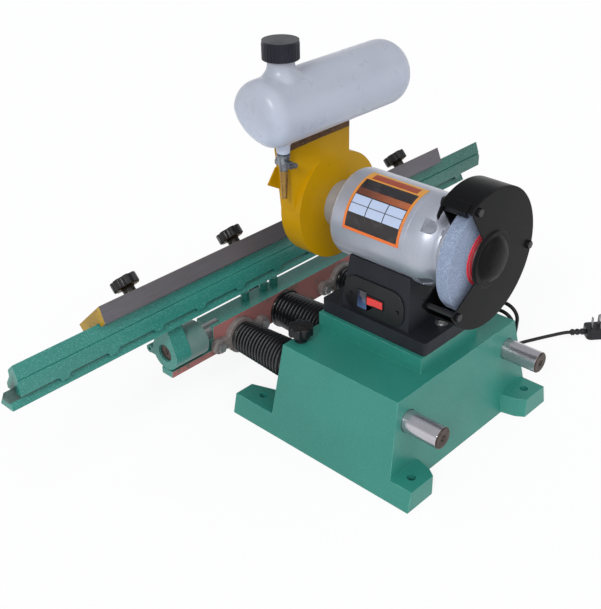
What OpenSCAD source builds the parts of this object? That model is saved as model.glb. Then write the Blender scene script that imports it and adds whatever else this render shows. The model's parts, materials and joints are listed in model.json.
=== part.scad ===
// Hand-fed grinder for straight planer knives: cast base, bench grinder, V rail with sliding carriage.
// X runs along the rail, Y from the operator to the grinder's outer wheel, Z is up, millimetres.

/* [Base] */
// width of the shelf along the rail
shelf_w = 260; // [244:1:300]
// depth of the shelf across the rail
shelf_d = 197; // [186:1:230]
// height of the shelf above the floor
shelf_h = 133; // [126:1:150]
// how far each side wall leans out from shelf to floor
side_lean = 30; // [20:1:40]
// wall thickness of the casting
wall_t = 10; // [8:0.5:13]
// width of the raised pad
pad_w = 124; // [118:1:140]
// height of the raised pad
pad_h = 23; // [16:1:30]
// height of the foot lugs
foot_h = 30; // [20:1:36]
// radius of the floor bolt holes
foot_hole_r = 6; // [4:0.5:7]

/* [Guide rods and feed] */
// diameter of the guide rods
rod_d = 30; // [26:0.5:31]
// distance of the rod axes from the shelf's side edge
rod_inset = 19; // [18:1:26]
// rod length past the base
rod_tail = 57; // [30:1:90]
// diameter of the feed screw
screw_d = 16; // [12:0.5:18]
// outer diameter of the rod bellows
bellows_d = 47; // [46:0.5:50]
// outer diameter of the feed screw bellows
feed_bellows_d = 55; // [48:0.5:58]
// number of bellows ribs
bellows_ribs = 15; // [8:1:20]

/* [Grinder] */
// diameter of the motor
motor_d = 120; // [112:1:124]
// height of the spindle above the pad
spindle_rise = 137; // [132:1:150]
// diameter of the straight wheel
wheel_d = 148; // [125:1:154]
// width of the straight wheel
wheel_t = 18; // [13:1:20]
// diameter of the black guard
guard_d = 183; // [172:1:190]
// diameter of the cup wheel
cup_d = 100; // [80:1:110]

/* [Coolant] */
// diameter of the bottle
bottle_d = 87; // [76:1:94]
// length of the bottle
bottle_l = 271; // [245:1:290]
// diameter of the bottle cap
cap_d = 45; // [42:0.5:50]

/* [Rail and clamp] */
// length of the carriage
carriage_l = 931; // [760:1:1000]
// length of the rail
rail_l = 903; // [760:1:960]
// length of the clamp bar
bar_l = 686; // [600:1:720]
// distance between clamp knobs
knob_pitch = 184; // [150:1:190]
// slope of the knife seat
clamp_a = 43; // [40:0.5:46]
// diameter of the clamp knobs
knob_d = 37; // [32:0.5:42]

/* [Cord] */
// diameter of the mains cord
cord_d = 5.4; // [5:0.1:6]

/* [Hidden] */
$fn = 64;
eps = 0.01;
run_gap = 0.05;
part_gap = 0.3;
half_turn = 180;
over = 20;

green = [0.16, 0.47, 0.42];
primer = [0.45, 0.27, 0.28];
black = [0.1, 0.1, 0.11];
steel = [0.72, 0.73, 0.75];
silver = [0.6, 0.61, 0.64];
yellow = [0.72, 0.54, 0.02];
white = [0.85, 0.87, 0.9];
bronze = [0.65, 0.47, 0.22];
copper = [0.7, 0.42, 0.25];
red = [0.85, 0.12, 0.12];
grit = [0.5, 0.56, 0.65];

// casting
front_y = -91;
back_y = front_y + shelf_d;
front_lean = 3;
back_lean = 13;
half_w = shelf_w / 2;
floor_half_w = half_w + side_lean;
floor_front = front_y - front_lean;
floor_back = back_y + back_lean;
top_t = 14;
pad_y1 = -87;
pad_y2 = 89;
pad_z = shelf_h + pad_h;
foot_front = floor_front - 71;
foot_back = floor_back + 31.5;
foot_hole_x = floor_half_w - 30;
foot_hole_y = [floor_front - 38, floor_back + 13];
foot_tip_w = 38;
foot_back_w = 51;
foot_side_w = 59;
foot_side_l = 12;
foot_root_w = 65;

// rods and feed
rod_r = rod_d / 2;
rod_x = half_w - rod_inset;
rod_z = shelf_h - 36;
rod_end = back_y + rod_tail;
rod_clear = 0.6;
spigot_r = rod_r - 5;
bush_r = rod_r + 4;
bush_l = 16;
bush_in = 3;
screw_r = screw_d / 2;
feed_x = 16;
nut_r = screw_r + 5;
nut_l = 30;
lock_x = rod_x - 5;
lock_y = front_y + 11;
lock_r = 4;
lock_head_r = 17;
bellows_r = bellows_d / 2;
bellows_wall = 1.4;
bellows_deep = 5;
bellows_grow = 4.5;
lip_over = 2;
cuff = 4;
feed_bellows_r = feed_bellows_d / 2;

// crossbeam
beam_y2 = -200;
beam_y1 = -235;
beam_drop = 12;
beam_z1 = rod_z - beam_drop;
beam_z2 = rod_z + 31;
beam_over = 47;
beam_x = rod_x + beam_over;
ledge_over = 78;
ledge_x = beam_x + ledge_over;
ledge_y = -222;
ledge_z1 = beam_z1 - 3;
ledge_z2 = beam_z1 + 7;
flange_t = 9;
flange_r = 27;
ear_r = 11;
ear_gap = 11.5;
ear_off = rod_x - feed_x - feed_bellows_r - lip_over - ear_r - ear_gap;
pivot_y = -212;
pivot_z = rod_z + 21;

// pivot blocks
block_x1 = beam_x + 20;
block_x2 = block_x1 + 58;
column_x1 = block_x1 + 33;
block_r = 25;
pin_r = 8;
stud_r = 11;
stud_in = 18;
sink_r = 13;
sink_deep = 8;

// rail and carriage, section measured from the rail's foot
rail_y = -204.5;
rail_z = pivot_z + 46;
rail_shift = 27.5;
rail_half = 13.5;
rail_top = 21;
rail_top_half = 1.4;
flank = (rail_half - rail_top_half) / rail_top;
ride_gap = 0.25;
skirt_w = 9;
skirt_half = 14.5;
pad_pitch = 73.5;
pad_len = 11;
scallop_h = 6;
fin_top = 55.5;
crease_z = 36;
crease_half = 11.5;
fin_half = 6;
seat_low = fin_top - 2 * fin_half * tan(clamp_a);
seat_y = rail_y;
seat_z = rail_z + fin_top - fin_half * tan(clamp_a);
bar_t = 16;
bar_low = -36;
bar_nose = 32;
bar_foot = 24;
nose_in = fin_half / cos(clamp_a) + 2.5;
nose_deep = 6;
bar_gap = 0.15;
stud_hole = 4;
stud_deep = 7;
hub_h = 11;
head_h = 15;
knob_n = 4;

// grinder
spin_z = pad_z + spindle_rise;
motor_r = motor_d / 2;
shell_y1 = -66;
shell_y2 = 50;
shell_t = 3;
bell_end = 94;
bell_ring = 104;
bell_ring_r = 48;
bell_waist_r = 44;
neck_r = 33;
neck_end = -103;
shaft_r = 7.5;
tip_r = 6.35;
bearing_r = 17.5;
bearing_w = 11;
bearing_out = 68;
bearing_in = -84;
core_in = 33;
core_half = 34;
coil_in = 16;
coil_out = 10;
coil_thin = 6;
rotor_half = core_half + 2;
shaft_over = 3;
label_y1 = -47;
label_y2 = 43;
label_mid = 48;
label_half = 44;
air_gap = 0.5;
vent_r = 9;
vent_deep = 6;
vent_in = 25;
vent_lean = 22;
wheel_y1 = 111;
wheel_y2 = wheel_y1 + wheel_t;
wheel_r = wheel_d / 2;
wheel_flange_r = 28;
blotter_r = wheel_r / 2;
guard_r = guard_d / 2;
guard_y1 = bell_end;
guard_y2 = 139.5;
guard_t = 1.8;
open_low = -33;
open_high = 57;
band_back = 13;
dome_r = 39;
dome_h = 9;
spark_t = 2;
spark_y1 = guard_y1 + 3;
spark_y2 = guard_y2 - 8;
cup_r = cup_d / 2;
cup_y2 = -114;
cup_y1 = -150;
cup_rim = 11;

// pedestal
ped_half = 50;
ped_y1 = -60;
ped_y2 = 57;
ped_top1 = -42;
ped_foot_x = 56;
ped_foot_t = 19;
ped_rise = 100;
ped_wall = 8;
ped_bolt_y = [pad_y1 + 14, pad_y2 - 16];
plate_y1 = -49;
plate_y2 = 50;
plate_z1 = pad_z + 21;
plate_z2 = pad_z + 73;
plate_round = 20;
plate_screw = 39;
plate_t = 2.5;
rock_y = 3.5;
rock_z = pad_z + 45;
rock_l = 27;
rock_h = 11;
win_y = -19;
win_z = pad_z + 42;
win_w = 16;
win_h = 28;

// splash guard and coolant
drum_z = spin_z + 4;
drum_r = 80;
drum_small = 74;
drum_y1 = -137;
drum_y2 = neck_end;
sheet = 2;
flue_x1 = -17;
flue_x2 = 89;
flue_rise = 105;
flue_z = spin_z + flue_rise;
lip_x = 40;
lip_drop = 8;
lip_back = 11;
pad_rise = 18;
bottle_r = bottle_d / 2;
bottle_y = -112;
bottle_z = flue_z + 9 + bottle_r;
bottle_x1 = -118;
bottle_x2 = bottle_x1 + bottle_l;
bottle_t = 2;
dome_end = 22;
tap_in = 55;
tap_x = bottle_x2 - tap_in;
neck_out = 17;
neck_h = 18;
neck_root = 14;
cap_r = cap_d / 2;
cap_ribs = 30;
cap_h = 22.5;
outlet_r = 9.5;
tap_top = 8.7;
outlet_z = bottle_z - bottle_r - 15.5;
tap_r = 5;
tap_h = 22;
tap_axis = outlet_z - 12;
plug_r = 2.5;
plug_reach = 11;
wing_l = 8;
tube_top = 5.4;
tube_r = 3.6;
tube_h = 38;

// cord route, tied in upright loops against the far side of the base
cord_r = cord_d / 2;
gland_x = -ped_half;
gland_y = 30;
gland_z = pad_z + 34;
gland_l = 22;
loop_n = 3;
loop_pitch = cord_d * 1.25;
loop_half = 22;
loop_steps = 10;
loop_run = 92;
loop_mid = 78;
loop_y = 66;
loop_drop = 12;
loop_slant = 0.2;
lean = side_lean / shelf_h;
wall_gap = 2.5;
lead_route = [[-98, 29, 188], [-115, 27, 179], [-130, 24, 161], [-139, 22, 138], [-146, 21, 116],
    [-152, 20, 92], [-158, 20, 62], [-162, 19, 40], [-164, 22, 21], [-165, 31, 11]];
tail_route = [[-176, 40, 54], [-181, 37, 38], [-192, 35, 21], [-210, 34, 8], [-236, 36, 3.4], [-265, 43, 3.4],
    [-291, 55, 3.8], [-314, 69, 5.6]];
plug_at = [-339, 88, 0];
plug_turn = 138;
plug_l = 36;
plug_w = 29;
plug_h = 16;
relief_l = 24;
rib_pitch = 8;
pin_h = 17;

function unit(v) = v / norm(v);
function catmull(a, b, c, d, t) = 0.5 * (2 * b + (c - a) * t + (2 * a - 5 * b + 4 * c - d) * t * t
    + (3 * b - a - 3 * c + d) * t * t * t);
function smooth(p, n) = concat([for (i = [0 : len(p) - 2]) for (k = [0 : n - 1])
    catmull(p[max(i - 1, 0)], p[i], p[i + 1], p[min(i + 2, len(p) - 1)], k / n)], [p[len(p) - 1]]);
function tangent(p, i) = unit(p[min(i + 1, len(p) - 1)] - p[max(i - 1, 0)]);
function across(u, t) = unit(u - t * (u * t));
function frames(p, u0) = [for (i = 0, u = across(u0, tangent(p, 0)); i < len(p);
    i = i + 1, u = across(u, tangent(p, min(i, len(p) - 1)))) u];
function ring(c, t, u, r, n) = [for (k = [0 : n - 1])
    c + r * (cos(360 * k / n) * u + sin(360 * k / n) * cross(t, u))];
function path_len(p) = len(p) < 2 ? 0 : sum([for (i = [1 : len(p) - 1]) norm(p[i] - p[i - 1])]);
function sum(v, i = 0) = i >= len(v) ? 0 : v[i] + sum(v, i + 1);

module tube(p, r, n, u0) {
    f = frames(p, u0);
    rings = [for (i = [0 : len(p) - 1]) ring(p[i], tangent(p, i), f[i], r, n)];
    pts = [for (g = rings) each g];
    last = (len(p) - 1) * n;
    side = [for (i = [0 : len(p) - 2]) for (k = [0 : n - 1]) let (m = (k + 1) % n)
        each [[i * n + k, i * n + m, (i + 1) * n + k], [i * n + m, (i + 1) * n + m, (i + 1) * n + k]]];
    ends = [for (k = [1 : n - 2]) each [[0, k + 1, k], [last, last + k, last + k + 1]]];
    polyhedron(points = pts, faces = concat(side, ends));
}

module box(lo, hi) {
    translate(lo) cube(hi - lo);
}

module along_x(x1, x2) {
    translate([x1, 0, 0]) rotate([90, 0, 90]) linear_extrude(height = x2 - x1) children();
}

module along_y(y1, y2) {
    translate([0, y2, 0]) rotate([90, 0, 0]) linear_extrude(height = y2 - y1) children();
}

module x_rod(r, x1, x2, y, z) {
    translate([x1, y, z]) rotate([0, 90, 0]) cylinder(r = r, h = x2 - x1);
}

module y_rod(r, y1, y2, x, z) {
    translate([x, y2, z]) rotate([90, 0, 0]) cylinder(r = r, h = y2 - y1);
}

module z_rod(r, z1, z2, x, y) {
    translate([x, y, z1]) cylinder(r = r, h = z2 - z1);
}

// turned piece about the Y axis, profile in radius and y
module y_turned(profile, x, z) {
    translate([x, 0, z]) rotate([-90, 0, 0]) rotate_extrude() polygon(profile);
}

module both_x() {
    children();
    mirror([1, 0, 0]) children();
}

module soft_square(w, d, r) {
    square([w - 2 * r, d], center = true);
    square([w, d - 2 * r], center = true);
    for (sx = [-1, 1], sy = [-1, 1]) {
        translate([sx * (w / 2 - r), sy * (d / 2 - r)]) circle(r = r);
    }
}

module hex_head(r, h) {
    cylinder(r = r, h = h, $fn = 6);
}

module lobed(r, h, lobes) {
    tip = r * 0.27;
    difference() {
        cylinder(r = r, h = h);
        for (k = [0 : lobes - 1]) {
            rotate(360 * k / lobes) translate([r + tip * 0.45, 0, -eps]) cylinder(r = tip, h = h + 2 * eps);
        }
    }
}

// base
module base_outer() {
    intersection() {
        along_y(floor_front - 1, floor_back + 1) side_outline(0);
        along_x(-floor_half_w - 1, floor_half_w + 1) end_outline(0);
    }
}

module side_outline(t) {
    z2 = shelf_h - (t > 0 ? top_t : 0);
    k = side_lean / shelf_h;
    polygon([[-floor_half_w + t, 0], [floor_half_w - t, 0], [floor_half_w - t - k * z2, z2],
        [-floor_half_w + t + k * z2, z2]]);
}

module end_outline(t) {
    z2 = shelf_h - (t > 0 ? top_t : 0);
    kf = front_lean / shelf_h;
    kb = back_lean / shelf_h;
    polygon([[floor_front + t, 0], [floor_back - t, 0], [floor_back - t - kb * z2, z2],
        [floor_front + t + kf * z2, z2]]);
}

module base_cavity() {
    intersection() {
        along_y(floor_front - 1, floor_back + 1) side_outline(wall_t);
        along_x(-floor_half_w - 1, floor_half_w + 1) end_outline(wall_t);
    }
}

module feet() {
    intersection() {
        along_y(foot_front - 1, foot_back + 1) side_outline(0);
        linear_extrude(height = foot_h) both_x() {
            polygon([[floor_half_w + 1, foot_front], [floor_half_w - foot_tip_w, foot_front],
                [floor_half_w - foot_root_w, floor_front + wall_t / 2],
                [floor_half_w + 1, floor_front + wall_t / 2]]);
            polygon([[floor_half_w + 1, foot_back], [floor_half_w - foot_back_w, foot_back],
                [floor_half_w - foot_side_w, foot_back - foot_side_l],
                [floor_half_w - foot_root_w, floor_back - wall_t / 2],
                [floor_half_w + 1, floor_back - wall_t / 2]]);
        }
    }
}

module base() {
    color(green) difference() {
        union() {
            difference() {
                union() {
                    base_outer();
                    feet();
                }
                translate([0, 0, -eps]) base_cavity();
            }
            box([-pad_w / 2, pad_y1, shelf_h - 1], [pad_w / 2, pad_y2, pad_z]);
        }
        for (x = [-rod_x, rod_x]) {
            y_rod(rod_r + rod_clear, floor_front - 1, floor_back + 1, x, rod_z);
            y_rod(bush_r, front_y + bush_in, front_y + bush_in + bush_l, x, rod_z);
            y_rod(bush_r, back_y - bush_in - bush_l, back_y - bush_in, x, rod_z);
        }
        y_rod(nut_r, floor_front - 1, front_y + nut_l + 1, feed_x, rod_z);
        z_rod(lock_r + run_gap, rod_z, shelf_h + 1, lock_x, lock_y);
        for (x = [-foot_hole_x, foot_hole_x], y = foot_hole_y) {
            z_rod(foot_hole_r, -1, foot_h + 1, x, y);
        }
    }
}

module rod_bushes() {
    color(bronze) for (x = [-rod_x, rod_x], y = [front_y + bush_in, back_y - bush_in - bush_l]) {
        difference() {
            y_rod(bush_r, y, y + bush_l, x, rod_z);
            y_rod(rod_r + run_gap, y - 1, y + bush_l + 1, x, rod_z);
        }
    }
}

module feed_nut() {
    color(bronze) difference() {
        y_rod(nut_r, front_y, front_y + nut_l, feed_x, rod_z);
        y_rod(screw_r + run_gap, front_y - 1, front_y + nut_l + 1, feed_x, rod_z);
    }
}

// pedestal and switch
module pedestal() {
    color(black) difference() {
        union() {
            translate([0, (pad_y1 + pad_y2) / 2, pad_z])
                linear_extrude(height = ped_foot_t) soft_square(2 * ped_foot_x, pad_y2 - pad_y1, 6);
            along_x(-ped_half, ped_half) polygon([[ped_y1, pad_z + 1], [ped_y2, pad_z + 1],
                [ped_y2, pad_z + ped_rise], [ped_top1, pad_z + ped_rise]]);
        }
        y_rod(motor_r, ped_y1 - 30, ped_y2 + 30, 0, spin_z);
        box([-ped_half + ped_wall, ped_top1 + ped_wall, pad_z - 1],
            [ped_half - ped_wall, ped_y2 - ped_wall, spin_z - motor_r - ped_wall]);
        box([0, rock_y - rock_l / 2 - 2, rock_z - rock_h / 2 - 2],
            [ped_half + 1, rock_y + rock_l / 2 + 2, rock_z + rock_h / 2 + 2]);
        x_rod(6, -ped_half - 1, 0, gland_y, gland_z);
        for (y = ped_bolt_y) {
            z_rod(4, pad_z - 1, pad_z + ped_foot_t + 1, 0, y);
        }
    }
}

module pedestal_screws() {
    color(steel) for (y = ped_bolt_y) {
        z_rod(4, pad_z, pad_z + ped_foot_t + 1, 0, y);
        z_rod(8.5, pad_z + ped_foot_t, pad_z + ped_foot_t + 1.5, 0, y);
        translate([0, y, pad_z + ped_foot_t + 1]) hex_head(7.2, 6);
    }
    color(steel) for (y = [-plate_screw, plate_screw]) {
        x_rod(3.2, ped_half + plate_t, ped_half + plate_t + 1.6, y, rock_z - 1);
    }
}

module switch_body() {
    color(black) difference() {
        box([ped_half - 24, rock_y - rock_l / 2 - 2, rock_z - rock_h / 2 - 2],
            [ped_half, rock_y + rock_l / 2 + 2, rock_z + rock_h / 2 + 2]);
        box([ped_half - 9, rock_y - rock_l / 2 - 0.5, rock_z - rock_h / 2 - 0.5],
            [ped_half + 1, rock_y + rock_l / 2 + 0.5, rock_z + rock_h / 2 + 0.5]);
    }
}

module plate_mid() {
    translate([(plate_y1 + plate_y2) / 2, (plate_z1 + plate_z2) / 2]) children();
}

module switch_plate() {
    color(black) difference() {
        along_x(ped_half, ped_half + plate_t) plate_mid()
            soft_square(plate_y2 - plate_y1, plate_z2 - plate_z1, plate_round);
        box([ped_half - 1, rock_y - rock_l / 2 - 0.5, rock_z - rock_h / 2 - 0.5],
            [ped_half + plate_t + 1, rock_y + rock_l / 2 + 0.5, rock_z + rock_h / 2 + 0.5]);
        box([ped_half + plate_t - 1, win_y - win_w / 2, win_z - win_h / 2],
            [ped_half + plate_t + 1, win_y + win_w / 2, win_z + win_h / 2]);
    }
}

module rocker() {
    face = ped_half + plate_t;
    color(red) intersection() {
        translate([0, 0, rock_z - rock_h / 2 + 0.3]) linear_extrude(height = rock_h - 0.6)
            polygon([[face - 4, rock_y - rock_l / 2 + 1], [face + 3.4, rock_y - rock_l / 2 + 1],
                [face + 1.4, rock_y], [face + 1.4, rock_y + rock_l / 2 - 1],
                [face - 4, rock_y + rock_l / 2 - 1], [face - 9, rock_y + 3], [face - 9, rock_y - 3]]);
        z_rod(rock_l / 2 - 0.4, rock_z - rock_h, rock_z + rock_h, face - 3, rock_y);
    }
}

// motor
module motor_shell() {
    color(silver) difference() {
        y_rod(motor_r, shell_y1, shell_y2, 0, spin_z);
        y_rod(motor_r - shell_t, shell_y1 - 1, shell_y2 + 1, 0, spin_z);
    }
}

module vent(a) {
    translate([0, shell_y2 + vent_in, spin_z]) rotate([0, -a, 0]) translate([motor_r - vent_deep, 0, 0])
        rotate([0, 90, vent_lean]) linear_extrude(height = over) {
            circle(r = vent_r);
            translate([-vent_r, -vent_r]) square([2 * vent_r, vent_r]);
        }
}

module bell_outer() {
    r = motor_r;
    seat = bearing_r + 5;
    hold = bearing_out + bearing_w;
    color(silver) difference() {
        y_turned([[r - shell_t, shell_y2 - 6], [r - shell_t, shell_y2], [r, shell_y2], [r, bell_end - 36],
            [r - 0.8, bell_end - 28], [r - 2.4, bell_end - 21], [r - 5, bell_end - 15],
            [r - 8.5, bell_end - 9.5], [bell_ring_r, bell_end - 5], [bell_ring_r - 1, bell_end - 3],
            [bell_ring_r, bell_end - 1],
            [bell_ring_r, bell_end], [bell_waist_r, bell_end], [bell_waist_r, bell_end + guard_t],
            [bell_ring_r, bell_end + guard_t], [bell_ring_r, bell_ring - 2], [bell_ring_r - 2, bell_ring],
            [bell_ring_r - 6, bell_ring], [bell_ring_r - 8, bell_end + 6], [shaft_r + 3, bell_end + 5],
            [shaft_r + 3, hold], [bearing_r, hold], [bearing_r, bearing_out - 2], [seat, bearing_out - 2],
            [seat, hold + 1], [bell_waist_r - 8, hold + 1], [r - 15, bell_end - 12], [r - 12, bell_end - 15],
            [r - 10, shell_y2 + 19], [r - shell_t - 4, shell_y2 - 6]], 0, spin_z);
        for (a = [42, 138, 222, 318]) {
            vent(a);
        }
    }
}

module bell_inner() {
    r = motor_r;
    seat = bearing_r + 5;
    far = bearing_in - bearing_w;
    color(silver) y_turned([[r - shell_t, shell_y1 + 6], [r - shell_t, shell_y1], [r, shell_y1],
        [r - 1.5, shell_y1 - 4], [r - 6, shell_y1 - 7], [neck_r, shell_y1 - 9], [neck_r, neck_end],
        [shaft_r + 3, neck_end], [shaft_r + 3, far],
        [bearing_r, far], [bearing_r, bearing_in + 2], [seat, bearing_in + 2], [seat, neck_end + 5],
        [neck_r - 4, neck_end + 5], [neck_r - 4, shell_y1 - 5], [r - 8, shell_y1 - 3],
        [r - shell_t - 4, shell_y1 + 6]], 0, spin_z);
}

module stator() {
    color(steel) difference() {
        y_rod(motor_r - shell_t, -core_half, core_half, 0, spin_z);
        y_rod(core_in, -core_half - 1, core_half + 1, 0, spin_z);
    }
}

module windings() {
    color(copper) for (y = [[-core_half - coil_in, -core_half], [core_half, core_half + coil_out]]) {
        difference() {
            y_rod(motor_r - shell_t - coil_thin, y[0], y[1], 0, spin_z);
            y_rod(core_in + 3, y[0] - 1, y[1] + 1, 0, spin_z);
        }
    }
}

module bearings() {
    color(steel) for (y = [bearing_out, bearing_in - bearing_w]) {
        difference() {
            y_rod(bearing_r, y, y + bearing_w, 0, spin_z);
            y_rod(shaft_r + 0.02, y - 1, y + bearing_w + 1, 0, spin_z);
        }
    }
}

module label() {
    color([0.2, 0.2, 0.22]) intersection() {
        difference() {
            y_rod(motor_r + 0.4, label_y1, label_y2, 0, spin_z);
            y_rod(motor_r + run_gap, label_y1 - 1, label_y2 + 1, 0, spin_z);
        }
        translate([0, 0, spin_z]) rotate([0, -label_mid, 0])
            box([0, label_y1 - 1, -motor_r * sin(label_half)],
                [motor_d, label_y2 + 1, motor_r * sin(label_half)]);
    }
}

module shaft() {
    color(steel) {
        y_rod(shaft_r, neck_end - shaft_over, wheel_y1 - 6, 0, spin_z);
        y_rod(tip_r, cup_y1 + 6, wheel_y2 + 17, 0, spin_z);
    }
}

module rotor() {
    color(steel) difference() {
        y_rod(core_in - air_gap, -rotor_half, rotor_half, 0, spin_z);
        y_rod(shaft_r, -rotor_half - 1, rotor_half + 1, 0, spin_z);
    }
}

module wheel() {
    color(grit) difference() {
        y_rod(wheel_r, wheel_y1, wheel_y2, 0, spin_z);
        y_rod(tip_r, wheel_y1 - 1, wheel_y2 + 1, 0, spin_z);
    }
}

module blotter() {
    color(red) difference() {
        y_rod(blotter_r, wheel_y2, wheel_y2 + 0.8, 0, spin_z);
        y_rod(tip_r, wheel_y2 - 1, wheel_y2 + 2, 0, spin_z);
    }
}

module wheel_flanges() {
    color(steel) for (y = [[wheel_y1 - 5, wheel_y1], [wheel_y2 + 0.8, wheel_y2 + 5.8], [cup_y2, cup_y2 + 6],
        [cup_y2 - 15, cup_y2 - 10]]) {
        difference() {
            y_rod(wheel_flange_r, y[0], y[1], 0, spin_z);
            y_rod(tip_r, y[0] - 1, y[1] + 1, 0, spin_z);
        }
    }
}

module spindle_nuts() {
    color(steel) for (y = [[wheel_y2 + 5.8, wheel_y2 + 15.8], [cup_y2 - 25, cup_y2 - 15]]) {
        difference() {
            translate([0, y[1], spin_z]) rotate([90, 0, 0]) cylinder(r = 11, h = y[1] - y[0], $fn = 6);
            y_rod(tip_r, y[0] - 1, y[1] + 1, 0, spin_z);
        }
    }
}

module cup_wheel() {
    color([0.85, 0.85, 0.83]) y_turned([[tip_r, cup_y2], [cup_r - 8, cup_y2], [cup_r, cup_y1 + 20],
        [cup_r, cup_y1], [cup_r - cup_rim, cup_y1], [cup_r - cup_rim, cup_y2 - 10],
        [tip_r, cup_y2 - 10]], 0, spin_z);
}

// black guard
module open_sector(r, in_r, low) {
    difference() {
        polygon([[0, 0], [2 * r * cos(low), 2 * r * sin(low)], [3 * r, 0],
            [2 * r * cos(open_high), 2 * r * sin(open_high)]]);
        circle(r = in_r);
    }
}

module guard_back() {
    color(black) translate([0, 0, spin_z]) {
        along_y(guard_y1, guard_y1 + guard_t) difference() {
            circle(r = guard_r);
            circle(r = bell_waist_r);
            open_sector(guard_r, bell_ring_r, open_low);
        }
        along_y(guard_y1, guard_y2 - guard_t) difference() {
            circle(r = guard_r);
            circle(r = guard_r - guard_t);
            open_sector(guard_r, 1, open_low - band_back);
        }
    }
}

module guard_cover() {
    y = guard_y2;
    color(black) union() {
        translate([0, 0, spin_z]) along_y(y - guard_t, y) difference() {
            circle(r = guard_r);
            circle(r = dome_r - 8);
            open_sector(guard_r, dome_r, open_low);
        }
        y_turned([[dome_r - 8, y - guard_t], [dome_r, y - guard_t], [dome_r - 3, y + 2.5],
            [dome_r - 9, y + 2.5], [dome_r - 13, y + dome_h - 2], [dome_r - 22, y + dome_h + 2],
            [0, y + dome_h + 3], [0, y + dome_h + 1],
            [dome_r - 22, y + dome_h], [dome_r - 15, y + dome_h - 4], [dome_r - 11, y]], 0, spin_z);
    }
}

bolt_ring = guard_r - 8;
bolt_angles = [open_low - 6, open_high + 7, 188];

module guard_bolts() {
    color(black) for (a = bolt_angles) {
        x = bolt_ring * cos(a);
        z = spin_z + bolt_ring * sin(a);
        y_rod(4, guard_y1 + guard_t, guard_y2 - guard_t, x, z);
        translate([x, guard_y2 + 4, z]) rotate([90, 0, 0]) hex_head(5.5, 4);
        translate([x, guard_y1, z]) rotate([90, 0, 0]) hex_head(5.5, 5);
    }
}

module spark_plate() {
    color(black) translate([0, 0, spin_z]) rotate([0, -open_high, 0]) {
        box([guard_r - 9, spark_y1, -spark_t], [guard_r + spark_t, spark_y2, 0]);
        box([guard_r, spark_y1, -spark_t], [guard_r + spark_t, spark_y2, 12]);
        rotate([90, 0, 0]) translate([0, 0, -spark_y1 - spark_t]) linear_extrude(height = spark_t)
            polygon([[guard_r - 8, -spark_t], [guard_r + spark_t, -spark_t], [guard_r - 4, -14],
                [guard_r - 10, -16]]);
    }
}

// yellow guard, pad, bottle and tap
module splash_outline(t) {
    difference() {
        translate([0, drum_z]) circle(r = drum_r - t);
        translate([-2 * drum_r, drum_z - 2 * drum_r]) square([2 * drum_r, 4 * drum_r]);
    }
    difference() {
        translate([0, drum_z - drum_r + drum_small]) circle(r = drum_small - t);
        translate([1, drum_z - 2 * drum_r]) square([2 * drum_r, 4 * drum_r]);
    }
    polygon([[flue_x1 + t, drum_z], [drum_r - t - 1, drum_z], [flue_x2 - t, flue_z - lip_drop - t],
        [lip_x, flue_z - t], [flue_x1 + t, flue_z - t]]);
}

// corner of the flue that leans back beside the round end plate
module lip_wedge(t) {
    translate([0, -t, drum_z - 1]) linear_extrude(height = 2 * flue_rise) polygon([[lip_x, drum_y2],
        [flue_x2, drum_y2 - lip_back], [flue_x2 + over, drum_y2 - lip_back], [flue_x2 + over, drum_y2 + over],
        [lip_x, drum_y2 + over]]);
}

module hood(t) {
    difference() {
        along_y(drum_y1 - (t > 0 ? 1 : 0), drum_y2 - t) splash_outline(t);
        difference() {
            lip_wedge(t);
            y_rod(drum_r - t, drum_y1 - 2, drum_y2 + over, 0, drum_z);
        }
    }
}

module splash_guard() {
    color(yellow) union() {
        difference() {
            hood(0);
            hood(sheet);
            y_rod(neck_r - 8, drum_y1, drum_y2 + 1, 0, spin_z);
        }
        along_y(drum_y1, drum_y1 + sheet) polygon([[drum_r + 1, drum_z + 34], [drum_r + 4, drum_z + 67],
            [drum_r + 9, drum_z + 67], [drum_r + 24, drum_z + 47]]);
    }
}

module bottle_pad() {
    color([0.35, 0.22, 0.12]) difference() {
        along_y(drum_y1 + 6, drum_y2) polygon([[flue_x1, flue_z], [lip_x, flue_z],
            [flue_x2 - 2, flue_z - lip_drop * (flue_x2 - 2 - lip_x) / (flue_x2 - lip_x)],
            [flue_x2 - 2, flue_z + pad_rise], [flue_x1, flue_z + pad_rise]]);
        lip_wedge(0);
        x_rod(bottle_r, flue_x1 - over, flue_x2 + over, bottle_y, bottle_z);
    }
}

module bottle_half(r, x1, x2, d) {
    translate([0, bottle_y, bottle_z]) rotate([0, 90, 0]) rotate_extrude() {
        translate([0, x1 + d]) square([r, x2 - x1 - 2 * d]);
        translate([0, x1]) square([r - d, x2 - x1]);
        intersection() {
            translate([r - d, x1 + d]) circle(r = d);
            translate([0, x1]) square([r, d]);
        }
        intersection() {
            translate([r - d, x2 - d]) circle(r = d);
            translate([0, x2 - d]) square([r, d]);
        }
    }
}

module bottle() {
    top = bottle_z + bottle_r;
    color(white) difference() {
        union() {
            bottle_half(bottle_r, bottle_x1, bottle_x2, dome_end);
            z_rod(neck_out, bottle_z, top + neck_h + 8, tap_x, bottle_y);
            translate([tap_x, bottle_y, top - 8]) cylinder(r1 = neck_out + 8, r2 = neck_out, h = neck_root);
            z_rod(outlet_r, outlet_z, bottle_z, tap_x, bottle_y);
        }
        bottle_half(bottle_r - bottle_t, bottle_x1 + bottle_t, bottle_x2 - bottle_t, dome_end - bottle_t);
        z_rod(neck_out - bottle_t, bottle_z, top + neck_h + over, tap_x, bottle_y);
        z_rod(outlet_r - 4, outlet_z - 1, bottle_z, tap_x, bottle_y);
    }
}

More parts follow.
